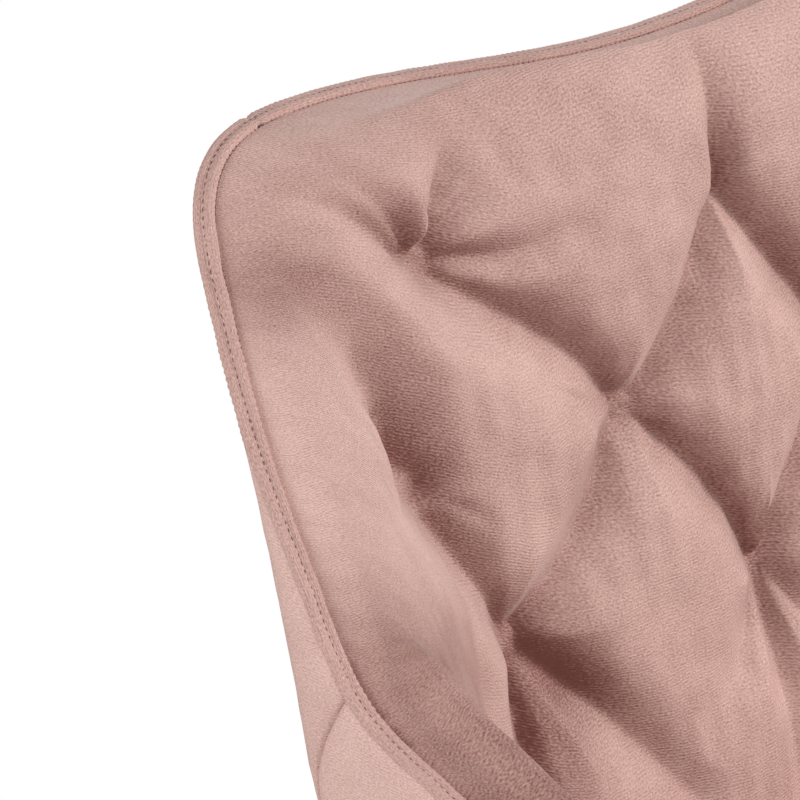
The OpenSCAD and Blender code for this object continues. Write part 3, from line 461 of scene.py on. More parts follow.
pile, g, given, result = new_group(
    "velvet_pile",
    [("Cloth", "NodeSocketVector", None), ("Nap", "NodeSocketFloat", 0.5)],
    [("Shade", "NodeSocketFloat"), ("Height", "NodeSocketFloat")])
cloth = given["Cloth"]
drift = g.noise(cloth, 55.0, 1.0)
across_ribs = g.math("ADD", g.split(cloth)[1], g.math("MULTIPLY", drift, 0.0032))
ribs = g.math("SINE", g.math("MULTIPLY", across_ribs, 2 * math.pi / rib_period))
broken = g.math("MULTIPLY", ribs, g.spread(g.noise(cloth, 420.0), 0.35, 0.65, 0.25, 1.0))
fleck = g.noise(g.stretch(cloth, (0.55, 1.0, 1.0)), 1150.0, 2.0, 0.6)
brushed = g.noise(g.stretch(cloth, (0.6, 1.0, 1.0)), 60.0, 3.0, 0.6)
leaning = g.noise(cloth, 15.0, 2.0)
# On the inner and outer covers this input holds painted light and shade.
shade = given["Nap"]
for pattern, middle, share in ((fleck, 0.5, 1.0), (broken, 0.0, 0.05),
                               (brushed, 0.5, 0.2), (leaning, 0.5, 0.09)):
    centred = g.math("SUBTRACT", pattern, middle)
    shade = g.math("ADD", shade, g.math("MULTIPLY", centred, share), clamp=pattern is leaning)
g.put(shade, result["Shade"])
height = g.math("ADD", g.math("MULTIPLY", broken, 0.4), g.math("MULTIPLY", fleck, 0.9))
g.put(g.math("ADD", height, g.math("MULTIPLY", brushed, 0.6)), result["Height"])
print("group:", pile.name)

# %% [markdown]
# Only the shade turns into colour, between a dark and a light blush, so the
# painted light and shade that the covers store with their nap become lighter and
# darker velvet. The sheen of the Principled shader gives the pale edge that
# standing pile has.

# %% Make the velvet
blush_dark, blush_light = (0.215, 0.088, 0.070), (0.84, 0.57, 0.505)

velvet, g, shader = start("velvet")
cloth = use_group(g, pile, Cloth=g.attribute("cloth").outputs["Vector"],
                  Nap=g.attribute("nap_and_light").outputs["Fac"])
ramp = g.nodes.new("ShaderNodeValToRGB")
g.put(cloth["Shade"], ramp.inputs[0])
for stop, position, colour in zip(ramp.color_ramp.elements, (0.12, 0.9), (blush_dark, blush_light)):
    stop.position, stop.color = position, (*colour, 1)
g.put(ramp.outputs[0], shader["Base Color"])
for name, value in (("Roughness", 0.88), ("Specular IOR Level", 0.18), ("Sheen Weight", 0.42),
                    ("Sheen Roughness", 0.3), ("Sheen Tint", (1.0, 0.9, 0.87, 1))):
    shader[name].default_value = value
g.put(g.bump(cloth["Height"], 0.0006, 0.6), shader["Normal"])
print("velvet: ribs every", rib_period * 1000, "mm")

# %% [markdown]
# ## Metal, plastic and rubber
# Powder coat, zinc, bronze and plastic differ in colour and roughness and in how
# their edges wear. A second group finds edges by comparing the true normal with
# a rounded one, and breaks them up, so bare metal shows only in patches.

# %% Make the hard finishes
worn, g, given, result = new_group(
    "worn_edges", [("Place", "NodeSocketVector", None), ("Wear", "NodeSocketFloat", 0.5)],
    [("Edge", "NodeSocketFloat"), ("Grime", "NodeSocketFloat")])
bevel = g.nodes.new("ShaderNodeBevel")
bevel.inputs["Radius"].default_value = 0.0012
real = g.nodes.new("ShaderNodeNewGeometry").outputs["Normal"]
edge = g.spread(g.vector_math("DOT_PRODUCT", bevel.outputs["Normal"], real), 0.985, 0.86)
patchy = g.spread(g.noise(given["Place"], 70.0, 4.0, 0.65), 0.48, 0.62)
bare_edge = g.math("MULTIPLY", g.math("MULTIPLY", edge, patchy), given["Wear"], clamp=True)
g.put(bare_edge, result["Edge"])
g.put(g.noise(given["Place"], 24.0, 5.0, 0.6), result["Grime"])


def hard_material(name, colour, roughness, metallic, wear, worn_colour, grain=0.0):
    """A smooth hard finish with worn edges, smudges and a faint orange peel."""
    material, g, shader = start(name)
    marks = use_group(g, worn, Place=g.place(), Wear=wear)
    g.put(g.mix(marks["Edge"], (*colour, 1), (*worn_colour, 1)), shader["Base Color"])
    smudged = g.spread(marks["Grime"], 0.3, 0.7, roughness - 0.08, roughness + 0.1)
    g.put(smudged, shader["Roughness"])
    shader["Metallic"].default_value = metallic
    peel = g.noise(g.stretch(g.place(), (1.0, 1.0, 1.0 + grain)), 900.0, 2.0)
    g.put(g.bump(peel, 0.0003, 0.25), shader["Normal"])
    return material


finishes = {"velvet": velvet}
for slot, values in {
    "black_steel": ("black_powder_coat", (0.022, 0.022, 0.024), 0.42, 0.0, 0.35,
                    (0.16, 0.16, 0.16)),
    "zinc_steel": ("zinc_plate", (0.56, 0.56, 0.54), 0.36, 1.0, 0.3, (0.75, 0.75, 0.73), 8.0),
    "bearing_steel": ("polished_steel", (0.7, 0.7, 0.7), 0.12, 1.0, 0.0, (0.7, 0.7, 0.7)),
    "bronze": ("oiled_bronze", (0.42, 0.25, 0.09), 0.38, 1.0, 0.3, (0.62, 0.42, 0.18)),
    "black_plastic": ("black_plastic", (0.014, 0.014, 0.015), 0.52, 0.0, 0.2, (0.05, 0.05, 0.05)),
    "black_rubber": ("black_rubber", (0.012, 0.012, 0.012), 0.74, 0.0, 0.1, (0.03, 0.03, 0.03)),
}.items():
    finishes[slot] = hard_material(*values)
print("hard finishes:", len(finishes) - 1)

# %% [markdown]
# ## Wood and cloth
# Sawn beech has its grain along the rails, and birch ply shows thin layers at
# its edges. Felt, dust cloth and thread are woven or tangled, so a small crossed
# wave and a fine noise are enough.

# %% Make the wood and cloth finishes
def wood_material(name, dark, light, lines, ply=False):
    material, g, shader = start(name)
    place = g.place()
    if ply:
        layer = g.math("SINE", g.math("MULTIPLY", g.split(place)[2], 2 * math.pi / 0.03))
        streak = g.noise(g.stretch(place, (1.0, 1.0, 0.06)), lines, 5.0, 0.6)
        share = g.math("ADD", streak, g.math("MULTIPLY", layer, 0.04))
    else:
        share = g.noise(g.stretch(place, (0.07, 1.0, 1.0)), lines, 6.0, 0.62)
    g.put(g.mix(g.spread(share, 0.36, 0.66), (*dark, 1), (*light, 1)), shader["Base Color"])
    shader["Roughness"].default_value = 0.62
    g.put(g.bump(share, 0.0006, 0.4), shader["Normal"])
    return material


def cloth_material(name, dark, light, size, roughness=0.95, sheen=0.1):
    material, g, shader = start(name)
    place = g.place()
    threads = [g.math("SINE", g.math("MULTIPLY", g.split(place)[axis], 2 * math.pi / size))
               for axis in (0, 1)]
    weave = g.math("MULTIPLY", *threads)
    share = g.math("ADD", g.noise(place, 2 / size, 4.0, 0.7), g.math("MULTIPLY", weave, 0.12))
    g.put(g.mix(g.spread(share, 0.3, 0.7), (*dark, 1), (*light, 1)), shader["Base Color"])
    shader["Roughness"].default_value = roughness
    shader["Sheen Weight"].default_value = sheen
    g.put(g.bump(share, 0.0005, 0.6), shader["Normal"])
    return material


finishes["hardwood"] = wood_material("planed_beech", (0.42, 0.23, 0.10), (0.60, 0.39, 0.20), 60.0)
finishes["plywood"] = wood_material("birch_plywood", (0.44, 0.27, 0.13), (0.66, 0.47, 0.27), 90.0,
                                    ply=True)
finishes["felt"] = cloth_material("needled_felt", (0.09, 0.085, 0.08), (0.22, 0.21, 0.20),
                                  0.004, 1.0, 0.2)
finishes["dust_cloth"] = cloth_material("spun_dust_cloth", (0.008, 0.008, 0.008),
                                        (0.02, 0.02, 0.02), 0.0016)
finishes["tie_thread"] = cloth_material("twisted_nylon", (0.42, 0.40, 0.34), (0.66, 0.63, 0.56),
                                        0.0012, 0.5)
print("finishes:", ", ".join(finishes))

# %% [markdown]
# ### Painting the CAD pieces
# The record names a finish for every CAD node. The material goes on the object
# and not on its mesh, because a CAD node's mesh stays as it is.

# %% Paint the frame
def paint(thing, material):
    """Puts one material on a piece or on a CAD node."""
    if not thing.material_slots:
        thing.data.materials.append(material)
    for place in thing.material_slots:
        place.link = "OBJECT"
        place.material = material


for part in frame["record"]["subparts"]:
    paint(nodes[part["node"]], finishes[part["material_slot"]])

# %% [markdown]
# ## Turning grids of points into pieces
# A soft piece starts as a grid of points. One helper makes the mesh, turns its
# faces outwards, keeps hard folds crisp and stores two attributes: where each
# point lies on the cloth, and its nap tone, which on the inner and outer covers
# holds painted light and shade.

# %% Write the mesh helpers
def store_cloth(mesh, cloth, nap_and_light):
    """Stores each point's place on the cloth and its nap tone, with the painted light and shade of
    the covers.
    """
    mesh.attributes.new("cloth", "FLOAT_VECTOR", "POINT").data.foreach_set(
        "vector", (cloth * 0.001).astype(np.float32).ravel())
    mesh.attributes.new("nap_and_light", "FLOAT", "POINT").data.foreach_set(
        "value", (np.zeros(len(cloth)) + nap_and_light).astype(np.float32).ravel())


def fit_out(piece, finish, material=None):
    """Gives a piece its finish and lets it ride the seat."""
    paint(piece, material or finishes[finish])
    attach(piece, "seat")


def make_piece(name, points, faces, cloth=None, nap_and_light=0.5, fold=40.0, finish="velvet"):
    """A smooth closed piece from points in millimetres."""
    mesh = bpy.data.meshes.new(name)
    mesh.from_pydata((points * 0.001).tolist(), [], faces)
    cloth = points if cloth is None else cloth
    if cloth.shape[1] == 2:
        cloth = np.concatenate([cloth, np.zeros((len(cloth), 1))], 1)
    store_cloth(mesh, cloth, nap_and_light)
    grown = bmesh.new()
    grown.from_mesh(mesh)
    bmesh.ops.recalc_face_normals(grown, faces=grown.faces)
    loose = sum(not e.is_manifold for e in grown.edges)
    if grown.calc_volume(signed=True) < 0:
        bmesh.ops.reverse_faces(grown, faces=grown.faces)
    grown.to_mesh(mesh)
    grown.free()
    mesh.shade_smooth()
    mesh.set_sharp_from_angle(angle=math.radians(fold))
    piece = bpy.data.objects.new(name, mesh)
    bpy.context.collection.objects.link(piece)
    mesh.materials.append(None)
    fit_out(piece, finish)
    print(f"{name}: {len(points)} points, {loose} open edges")
    return piece


def strip(first, second, closed=False):
    """Quads between two rows of point numbers of one length."""
    first, second = list(first), list(second)
    if closed:
        first, second = first + first[:1], second + second[:1]
    return [(a, b, d, c) for a, b, c, d in zip(first, first[1:], second, second[1:])]


def grid_numbers(grid, first=0):
    """The point numbers of a grid of points."""
    return first + np.arange(grid[..., 0].size).reshape(grid.shape[:2])


def sheet_faces(near, far):
    """A closed solid between two grids of point numbers with as many columns."""
    faces = []
    for grid in (near, far):
        for a, b in zip(grid, grid[1:]):
            faces += strip(a, b)
    faces += strip(near[:, 0], far[:, 0]) + strip(near[:, -1], far[:, -1])
    for i in (0, -1):
        faces.append(tuple(near[i]) + tuple(far[i][::-1]))
    return faces


def make_panel(name, face, rear, face_cloth, rear_cloth, nap_and_light, fold):
    """A padded panel: a face and a rear, with what each reads from the cloth."""
    numbers = grid_numbers(face)
    behind = grid_numbers(rear, numbers.size)
    naps_and_light = np.concatenate([nap_and_light.ravel(), np.full(behind.size, 0.4)])
    return make_piece(name, np.concatenate([face.reshape(-1, 3), rear.reshape(-1, 3)]),
                      sheet_faces(numbers, behind),
                      np.concatenate([face_cloth.reshape(-1, 2), rear_cloth.reshape(-1, 2)]),
                      naps_and_light, fold)


print("mesh helpers: make_piece, make_panel")

# %% [markdown]
# ### Small irregularities
# Hand-fitted cloth is never quite even. A few crossing sine waves with seeded
# directions give smooth, wandering values that come out the same on every run.

# %% Write the field helpers
def waves(u, v, length, seed, count=7):
    """Smooth wandering values, mostly between -1 and 1, with bumps about length across."""
    chance = np.random.default_rng(seed)
    total = 0
    for turn, phase, stretch in zip(chance.uniform(0, math.pi, count), chance.uniform(0, 7, count),
                                    chance.uniform(0.7, 1.5, count)):
        across = (u * math.cos(turn) + v * math.sin(turn)) * stretch
        total = total + np.sin(across * 2 * math.pi / length + phase)
    return total / math.sqrt(count * 2)


def smooth(value, low, high):
    share = np.clip((value - low) / (high - low), 0, 1)
    return share * share * (3 - 2 * share)


def spaced(start, stop, step):
    return np.linspace(start, stop, max(2, int(round(abs(stop - start) / step)) + 1))


def pair(a, b):
    """Two grids as one grid of number pairs."""
    return np.stack(np.broadcast_arrays(a, b), -1)


print("waves reach", round(float(np.abs(waves(np.arange(900.0), 0.0, 90, 3)).max()), 2))

# %% [markdown]
# ## The inner cover
# The inside of the shell is one padded, blind-tufted cover: the velvet is pulled
# through the foam with a stitch at each tuft and no button. Between the tufts it
# folds into deep creases, and the foam swells into pillows. A crease is steep
# where the cloth rolls over it and soft where it lies back. Tufts sit in a
# diamond pattern, mirrored about the middle, so lines in (|q|, z) are enough.

# %% Lay out tufts and creases
upper, inner, wing, lower = (230, 877), (102, 766), (279, 780), (218, 675)
top_middle, low_middle = (0, 862), (0, 664)
tufts = [top_middle, low_middle] + [(s * q, z) for s in (-1, 1)
                                    for q, z in (upper, inner, wing, lower)]
# Each fold: its points, its depth at the start and the end, the widths of its
# steep and its soft side, and how far its lip leans over.
creases = [
    ([upper, (220, 864), (196, 846), (171, 828), (145, 808), (125, 790), (112, 776), inner],
     14, 14, 7, 17, 0.0),
    ([inner, (122, 755), (144, 734), (171, 713), (196, 697), (214, 684), lower],
     14, 14, 6, 18, 0.0),
    ([wing, (276, 764), (255, 730), (236, 704), (225, 686), lower], 15, 14, 6, 16, 0.0),
    ([lower, (200, 657), (175, 633), (149, 606), (110, 566)], 14, 4, 7, 20, 0.0),
    ([lower, (225, 664), (228, 650), (230, 629), (234, 605), (236, 540)], 15, 7, 5, 16, 0.0),
    ([wing, (283, 795), (284, 822), (286, 841), (287, 859), (289, 874), (291, 888)],
     24, 7, 4.5, 9, 7.0),
    ([upper, (246, 888), (256, 904), (263, 920), (268, 934)], 17, 7, 3, 8, 0.0),
    ([upper, (222, 903), (198, 923), (163, 937)], 16, 5, 3.5, 9, 0.0),
    ([upper, (212, 876), (190, 871), (165, 871), (140, 876)], 13, 2, 5, 11, 0.0),
    ([inner, (60, 806), (24, 842), top_middle], 14, 14, 7, 17, 0.0),
    ([inner, (62, 730), (26, 694), low_middle], 14, 14, 6, 18, 0.0),
    ([top_middle, (0, 900), (0, 930)], 12, 3, 8, 14, 0.0),
    ([low_middle, (0, 600), (0, 540)], 12, 3, 8, 20, 0.0),
    ([low_middle, (44, 628), (96, 592)], 10, 2, 8, 20, 0.0),
]
# Short pleats fan out from a tuft and die out in the pillows.
pleats = [
    ([(232, 880), (241, 894), (249, 912), (251, 930), (247, 942)], 14, 5, 2.6, 6, 0.0),
    ([(228, 881), (222, 891), (200, 904), (169, 919)], 13, 4, 2.6, 7, 0.0),
    ([(234, 879), (256, 890), (272, 900)], 12, 3, 2.6, 6, 0.0),
    ([(108, 770), (128, 777), (150, 786), (174, 799), (199, 822)], 11, 2, 3, 8, 0.0),
    ([(106, 773), (124, 785), (140, 800)], 9, 2, 3, 7, 0.0),
    ([(221, 684), (217, 697), (208, 710)], 10, 2, 3, 6, 0.0),
    ([(224, 683), (234, 698), (236, 712)], 10, 2, 3, 6, 0.0),
    ([(276, 778), (262, 768), (244, 752)], 8, 1, 3, 7, 0.0),
    ([(304, 842), (292, 812)], 0, 4, 2.5, 6, 0.0),
]
print(f"{len(tufts)} tufts, {len(creases)} creases and {len(pleats)} short pleats")

# %% [markdown]
# ### How deep the cloth is pulled
# The cover is drawn as a height field over (q, z), because tufting moves the
# cloth mostly in and out. Each fold pulls it in by an amount that dies away on
# both sides, and each tuft adds a narrow dimple with fine puckers round it.

# %% Add up the folds
fold_reach_mm = 70
tuft_floor_mm = 15.5


def fold_depth(away, side, place, fold):
    """How deep one fold pulls the cloth, and its size along its length."""
    _, start, end, steep, soft, _ = fold
    size = start + (end - start) * smooth(place, 0, 1)
    size = size * (1 - 0.25 * np.sin(np.pi * place) * (min(start, end) > 8))
    fade = np.where(place > 0.999, np.exp(-away / 14) if end < 6 else 1, 1)
    width = np.where(side > 0, soft, steep)
    valley = 0.55 * np.exp(-away / width) + 0.45 * np.exp(-(away / (width * 1.7)) ** 2)
    return size * fade * valley, size


def fold_field(q, z):
    """The pull inwards, the lean along q and z, and how near a fold is."""
    q, a = np.asarray(q, float), np.abs(q)
    depth, lean_q, lean_z, near = (np.zeros(q.shape) for _ in range(4))
    for fold in creases + pleats:
        line, lip = np.array(fold[0], float), fold[-1]
        low, high = line.min(0) - fold_reach_mm, line.max(0) + fold_reach_mm
        box = (a > low[0]) & (a < high[0]) & (z > low[1]) & (z < high[1])
        away, side, place = along_line(a[box], z[box], line)
        pull, size = fold_depth(away, side, place, fold)
        depth[box] = np.maximum(depth[box], pull) + 0.18 * np.minimum(depth[box], pull)
        closeness = np.clip(size / 12, 0, 1) * np.exp(-(away / 21) ** 2)
        near[box] = np.maximum(near[box], closeness)
        if lip:
            travel = unit(line[-1] - line[0])
            shove = lip * np.clip(size / 14, 0, 1) * (away / 4) * np.exp(1 - away / 4)
            shove = shove * (side < 0) * smooth(place, 0, 0.2)
            lean_q[box] += travel[1] * shove * np.sign(q[box])
            lean_z[box] -= travel[0] * shove
    for tuft_q, tuft_z in tufts:
        off_q, off_z = q - tuft_q, z - tuft_z
        away = np.hypot(off_q, off_z)
        puckers = 0.3 * np.sin(9 * np.arctan2(off_z, off_q) + tuft_q)
        puckers = puckers * np.exp(-((away - 12) / 9) ** 2)
        dimple = 8 * np.exp(-away / 4.5) + 9.3 * np.exp(-(away / 15) ** 2) + puckers
        ceiling = tuft_floor_mm + np.clip(away - 6, 0, None) * 0.7
        depth = np.maximum(np.minimum(depth, ceiling), dimple)
        near = np.maximum(near, np.exp(-(away / 26) ** 2))
    return depth, lean_q, lean_z, near


pull_at_tuft = fold_field(*np.array([[float(q)] for q in upper]))[0][0]
print("a tuft is pulled in by", round(float(pull_at_tuft), 1), "mm")

# %% [markdown]
# ### The face of the padding
# The pad's own face is the CAD pad's: a quarter-ellipse roll from the welt up
# to the full thickness. The creases cut into it and the pillows rise above it.
# The roll over the back's top swells most in the middle, where it hides part of
# the welt from the front, and a crest runs along the arms.

# %% Shape the padding
cover_start_mm, cover_depth_mm, roll_mm = 3.6, 9.6, 58.0
puff_mm, top_swell_mm, arm_swell_mm = 12.0, 15.0, 21.0
crest_mm = 9.0


def crest(rim_away, first, fall):
    """Rises fast from the rim to a crest and falls slowly behind it."""
    return np.where(rim_away < crest_mm, smooth(rim_away, first, crest_mm),
                    np.exp(-((rim_away - crest_mm) / fall) ** 2))


def pad_surface(q, z):
    """The face with and without its folds, its rise and the distance from the rim."""
    q, z = np.broadcast_arrays(np.asarray(q, float), np.asarray(z, float))
    a = np.abs(q)
    rim_away, _, _ = along_line(a, z, rim)
    away = np.clip((rim_away - cover_start_mm) / (roll_mm - cover_start_mm), 0, 1)
    swell = np.sqrt(away * (2 - away))
    depth, lean_q, lean_z, near = fold_field(q, z)
    above_seat = smooth(z, 478, 560)
    pillow = puff_mm * (1 - near) * above_seat * swell
    top = top_swell_mm * smooth(235 - a, 0, 145) * smooth(z, 800, 900) * crest(rim_away, 4.4, 20)
    arm = arm_swell_mm * smooth(a, 328, 352) * (1 - 0.5 * smooth(a, 480, 700))
    arm = arm * crest(rim_away, 3.6, 15) * smooth(np.minimum(front_q - a, 60), 6, 60)
    shift_q, shift_z = q + lean_q * swell, z + lean_z * swell
    edge = at_depth(shift_q, shift_z, cover_depth_mm + 10.2 * smooth(rim_away, 3.6, 5.1))
    full = wall(shift_q, shift_z, padded_table, arm_total_mm, back_total_mm)
    bare = edge + swell[..., None] * (full - edge)
    soft = (1.3 * waves(q, z, 90, 3) + 0.5 * waves(q, z, 34, 4)) * above_seat
    folded = depth * above_seat * np.clip(swell * 1.15 - 0.15, 0, 1)
    rise = pillow - folded + soft * swell
    place = bare + rise[..., None] * inward(q, z)
    place[..., 2] += top + arm
    return place, bare, rise, rim_away


print("padding:", round(back_total_mm - board_inner_mm, 1), "mm on the back,",
      round(arm_total_mm - board_inner_mm, 1), "mm on the arms, with the fit gap")

# %% [markdown]
# ### A grid that is fine where the folds are
# The columns are 2 mm apart over the back and wings and wider along the arms.
# The rows crowd together near the rim, where the cover rolls over sharply, and
# follow the rim's own height in each column.

# %% Lay the grid over the padding
front_limit = inset_height(0, cover_start_mm)[1]
near_front = front_limit - np.array([60, 52, 44, 36, 29, 23, 18, 13.5, 10, 7, 4.5, 2.5, 1, 0])
half_q = np.concatenate([spaced(0, 330, 2.0), spaced(334, 400, 4.0),
                         spaced(408, near_front[0] - 8, 8.0), near_front])
cover_q = np.concatenate([-half_q[:0:-1], half_q])
cover_top, _ = inset_height(cover_q, cover_start_mm)
near_rim = np.array([0, 0.6, 1.4, 2.4, 3.6, 5, 6.8, 9, 11.5, 14, 17, 20, 23, 26, 29, 32, 35, 38,
                     41, 44, 47, 50])
fine_share, coarse_share = np.linspace(0, 1, 150)[1:], np.linspace(0, 1, 26)[1:]
columns = []
for top in cover_top:
    bend = max(min(560.0, top - 120), deck_mm + 40)
    columns.append(np.concatenate([
        top - near_rim, top - 50 + (bend - top + 50) * fine_share,
        bend + (deck_mm + 0.6 - bend) * coarse_share]))
cover_z = np.array(columns)
grid_q = np.broadcast_to(cover_q[:, None], cover_z.shape)
face, bare, rise, rim_away = pad_surface(grid_q, cover_z)
print("grid:", cover_z.shape, "points over the padding")

# %% [markdown]
# ### Cloth coordinates and painted light and shade
# The rib has to run along the cloth, not along the world's axes, so each point
# stores how far it lies along the bare pad in both directions. The nap tone holds
# painted light and shade: lighter where a slope faces the key lamp and darker
# where it turns away, painted shade in the folds, a painted sheen across the
# middle of the wing with painted shade at its top and foot, and painted shade
# over the top of the arm roll. It is also darker below the lower tuft, and a
# slow wave varies it at random.

# %% Work out the cloth and paint light and shade into the nap
def run_along(points, axis, start):
    """Lengths along one axis of a grid of points, from a chosen row."""
    steps = np.linalg.norm(np.diff(points, axis=axis), axis=-1)
    total = np.cumsum(np.insert(steps, 0, 0, axis=axis), axis=axis)
    return total - np.take(total, [start], axis=axis)


cloth_u = run_along(bare, 0, len(cover_q) // 2)
past_back = np.maximum(np.abs(cloth_u) - 150, 0)
cloth_v = -run_along(bare, 1, 150) - 0.55 * past_back * past_back / (past_back + 40)
slope_q = np.gradient(rise, cover_q, axis=0)
slope_z = np.gradient(rise, axis=1) / np.gradient(cover_z, axis=1)
painted_light_slope = 0.8 * slope_q + 0.6 * slope_z
for _ in range(3):
    painted_light_slope[1:-1] = (painted_light_slope[:-2] + 2 * painted_light_slope[1:-1] + painted_light_slope[2:]) / 4
    painted_light_slope[:, 1:-1] = (painted_light_slope[:, :-2] + 2 * painted_light_slope[:, 1:-1] + painted_light_slope[:, 2:]) / 4
grid_a = np.abs(grid_q)
# Painted light on the wing: a painted sheen across its middle, painted shade at its top and its
# foot.
wing_painted_light = 0.14 - 0.34 * smooth(cover_z, 860, 900) - 0.3 * (1 - smooth(cover_z, 640, 820))
# The tone is darker in a patch below the lower tuft.
below_tuft = np.exp(-((grid_a - 205) / 38) ** 2 - ((cover_z - 632) / 34) ** 2)
# Painted light and shade: lighter where a slope faces the key lamp, darker where it turns away,
# painted shade in the folds.
tone_with_painted_light = 0.53 - 0.2 * np.clip(painted_light_slope, -0.4, 1) - 0.014 * np.clip(-rise, 0, 18)
tone_with_painted_light += smooth(grid_a, 262, 306) * wing_painted_light - 0.24 * below_tuft
# Painted shade over the top of the arm roll, near the rim.
tone_with_painted_light -= 0.14 * smooth(grid_a, 322, 338) * (1 - smooth(rim_away, 22, 30))
tone_with_painted_light += 0.05 * waves(grid_q, cover_z, 120, 8)
print("nap from", tone_with_painted_light.min().round(2), "to", tone_with_painted_light.max().round(2))

# %% [markdown]
# The rear of the cover lies a little off the shell board. It needs only three
# rows, because nothing shows it.

# %% Make the inner cover
rear_z = cover_z[:, [0, 60, -1]]
rear_q = np.broadcast_to(cover_q[:, None], rear_z.shape)
on_board = board_inner_mm + 1.3
rear = at_depth(rear_q, rear_z, np.array([cover_depth_mm + 1.0, on_board, on_board]) + 0 * rear_z)
inner_cover = make_panel("inner_cover", face, rear, pair(cloth_u, cloth_v), pair(rear_q, rear_z),
                         tone_with_painted_light, 60)
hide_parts("back_pad", "arm_pad_left", "arm_pad_right")
print("pad face reaches", face.reshape(-1, 3).min(0).round(), face.reshape(-1, 3).max(0).round())

# %% [markdown]
# ## The double welt
# Two cords sewn side by side in one strip of velvet cover the joint of the inner
# and outer covers all round the rim. The strip follows the rim with slight
# waves, as hand-fitted welt does, and its ends meet in a small pleat by the
# upper corner. It is a profile of two lobes, swept along the rim in small steps.

# %% Follow the rim
cord_mm = welt_mm / 2
ring_step_mm, join_q_mm = 1.1, -226

half_rim = trace_rim(6)
whole_rim = np.concatenate([half_rim[:0:-1] * [-1, 1], half_rim])
spine_steps = np.linalg.norm(np.diff(outer(*whole_rim.T), axis=0), axis=1)
spine_run = np.concatenate([[0], np.cumsum(spine_steps)])
even_run = np.linspace(0, spine_run[-1], int(spine_run[-1] / ring_step_mm))
whole_rim = np.stack([np.interp(even_run, spine_run, whole_rim[:, i]) for i in (0, 1)], -1)
spine = outer(*whole_rim.T)
travel = unit(np.gradient(spine, axis=0))
across = inward(*whole_rim.T)
outwards = unit(np.cross(across, travel))
outwards *= np.sign(outwards[len(outwards) // 2, 2])
print("welt:", round(spine_run[-1]), "mm long in", len(spine), "rings")

# %% [markdown]
# Fine puckers come from the sewing thread, and the slower waves from the hand.

# %% Sweep the double welt
def along_welt(length, seed):
    return waves(even_run, 0 * even_run, length, seed)


left_lobe = np.radians([232, 200, 168, 140, 115, 90, 68, 46])
right_lobe = np.radians([134, 112, 90, 65, 40, 12, -20, -52])
profile = np.array([(cord_mm * (middle + math.cos(t)), cord_mm * (math.sin(t) - 1))
                    for middle, lobe in ((1, left_lobe), (3, right_lobe)) for t in lobe])
join_run = even_run[np.argmin(np.abs(whole_rim[:, 0] - join_q_mm) + 9e3 * (whole_rim[:, 1] < 900))]
join = np.exp(-((even_run - join_run) / 2.2) ** 2)
puckers = np.sin(even_run * 2 * math.pi / 3.6 + 1.5 * along_welt(40, 14))
puckers *= 0.03 + 0.035 * along_welt(75, 15)
waver = 0.35 * along_welt(60, 11) + 0.25 * along_welt(23, 12)
size = 1 + 0.025 * along_welt(31, 13) + puckers - 0.3 * join
centre = np.array([cord_mm * 2, -cord_mm])
offset = (profile[None, :, :] - centre) * size[:, None, None] + centre
welt_points = (spine[:, None]
               + (offset[..., :1] + waver[:, None, None] * 0.5) * across[:, None]
               + (offset[..., 1:] + waver[:, None, None] * 0.3) * outwards[:, None])
numbers = grid_numbers(welt_points)
welt_faces = [tuple(numbers[0]), tuple(numbers[-1])]
for a, b in zip(numbers, numbers[1:]):
    welt_faces += strip(a, b, closed=True)
welt_cloth = pair(even_run[:, None], np.linspace(0, 22, len(profile)))
double_welt = make_piece("double_welt", welt_points.reshape(-1, 3), welt_faces,
                         welt_cloth.reshape(-1, 2), 0.56, fold=55)
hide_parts("rim_welt")

# %% [markdown]
# ## Stitches
# Two rows of thread hold the welt: one in the groove between the cords, and one
# where the inner cord meets the cover, which pulls that seam into fine teeth.
# They are all one shape repeated along a line, so Geometry Nodes places them: a
# curve goes in, points are spaced along it, and a small bar sits on each.

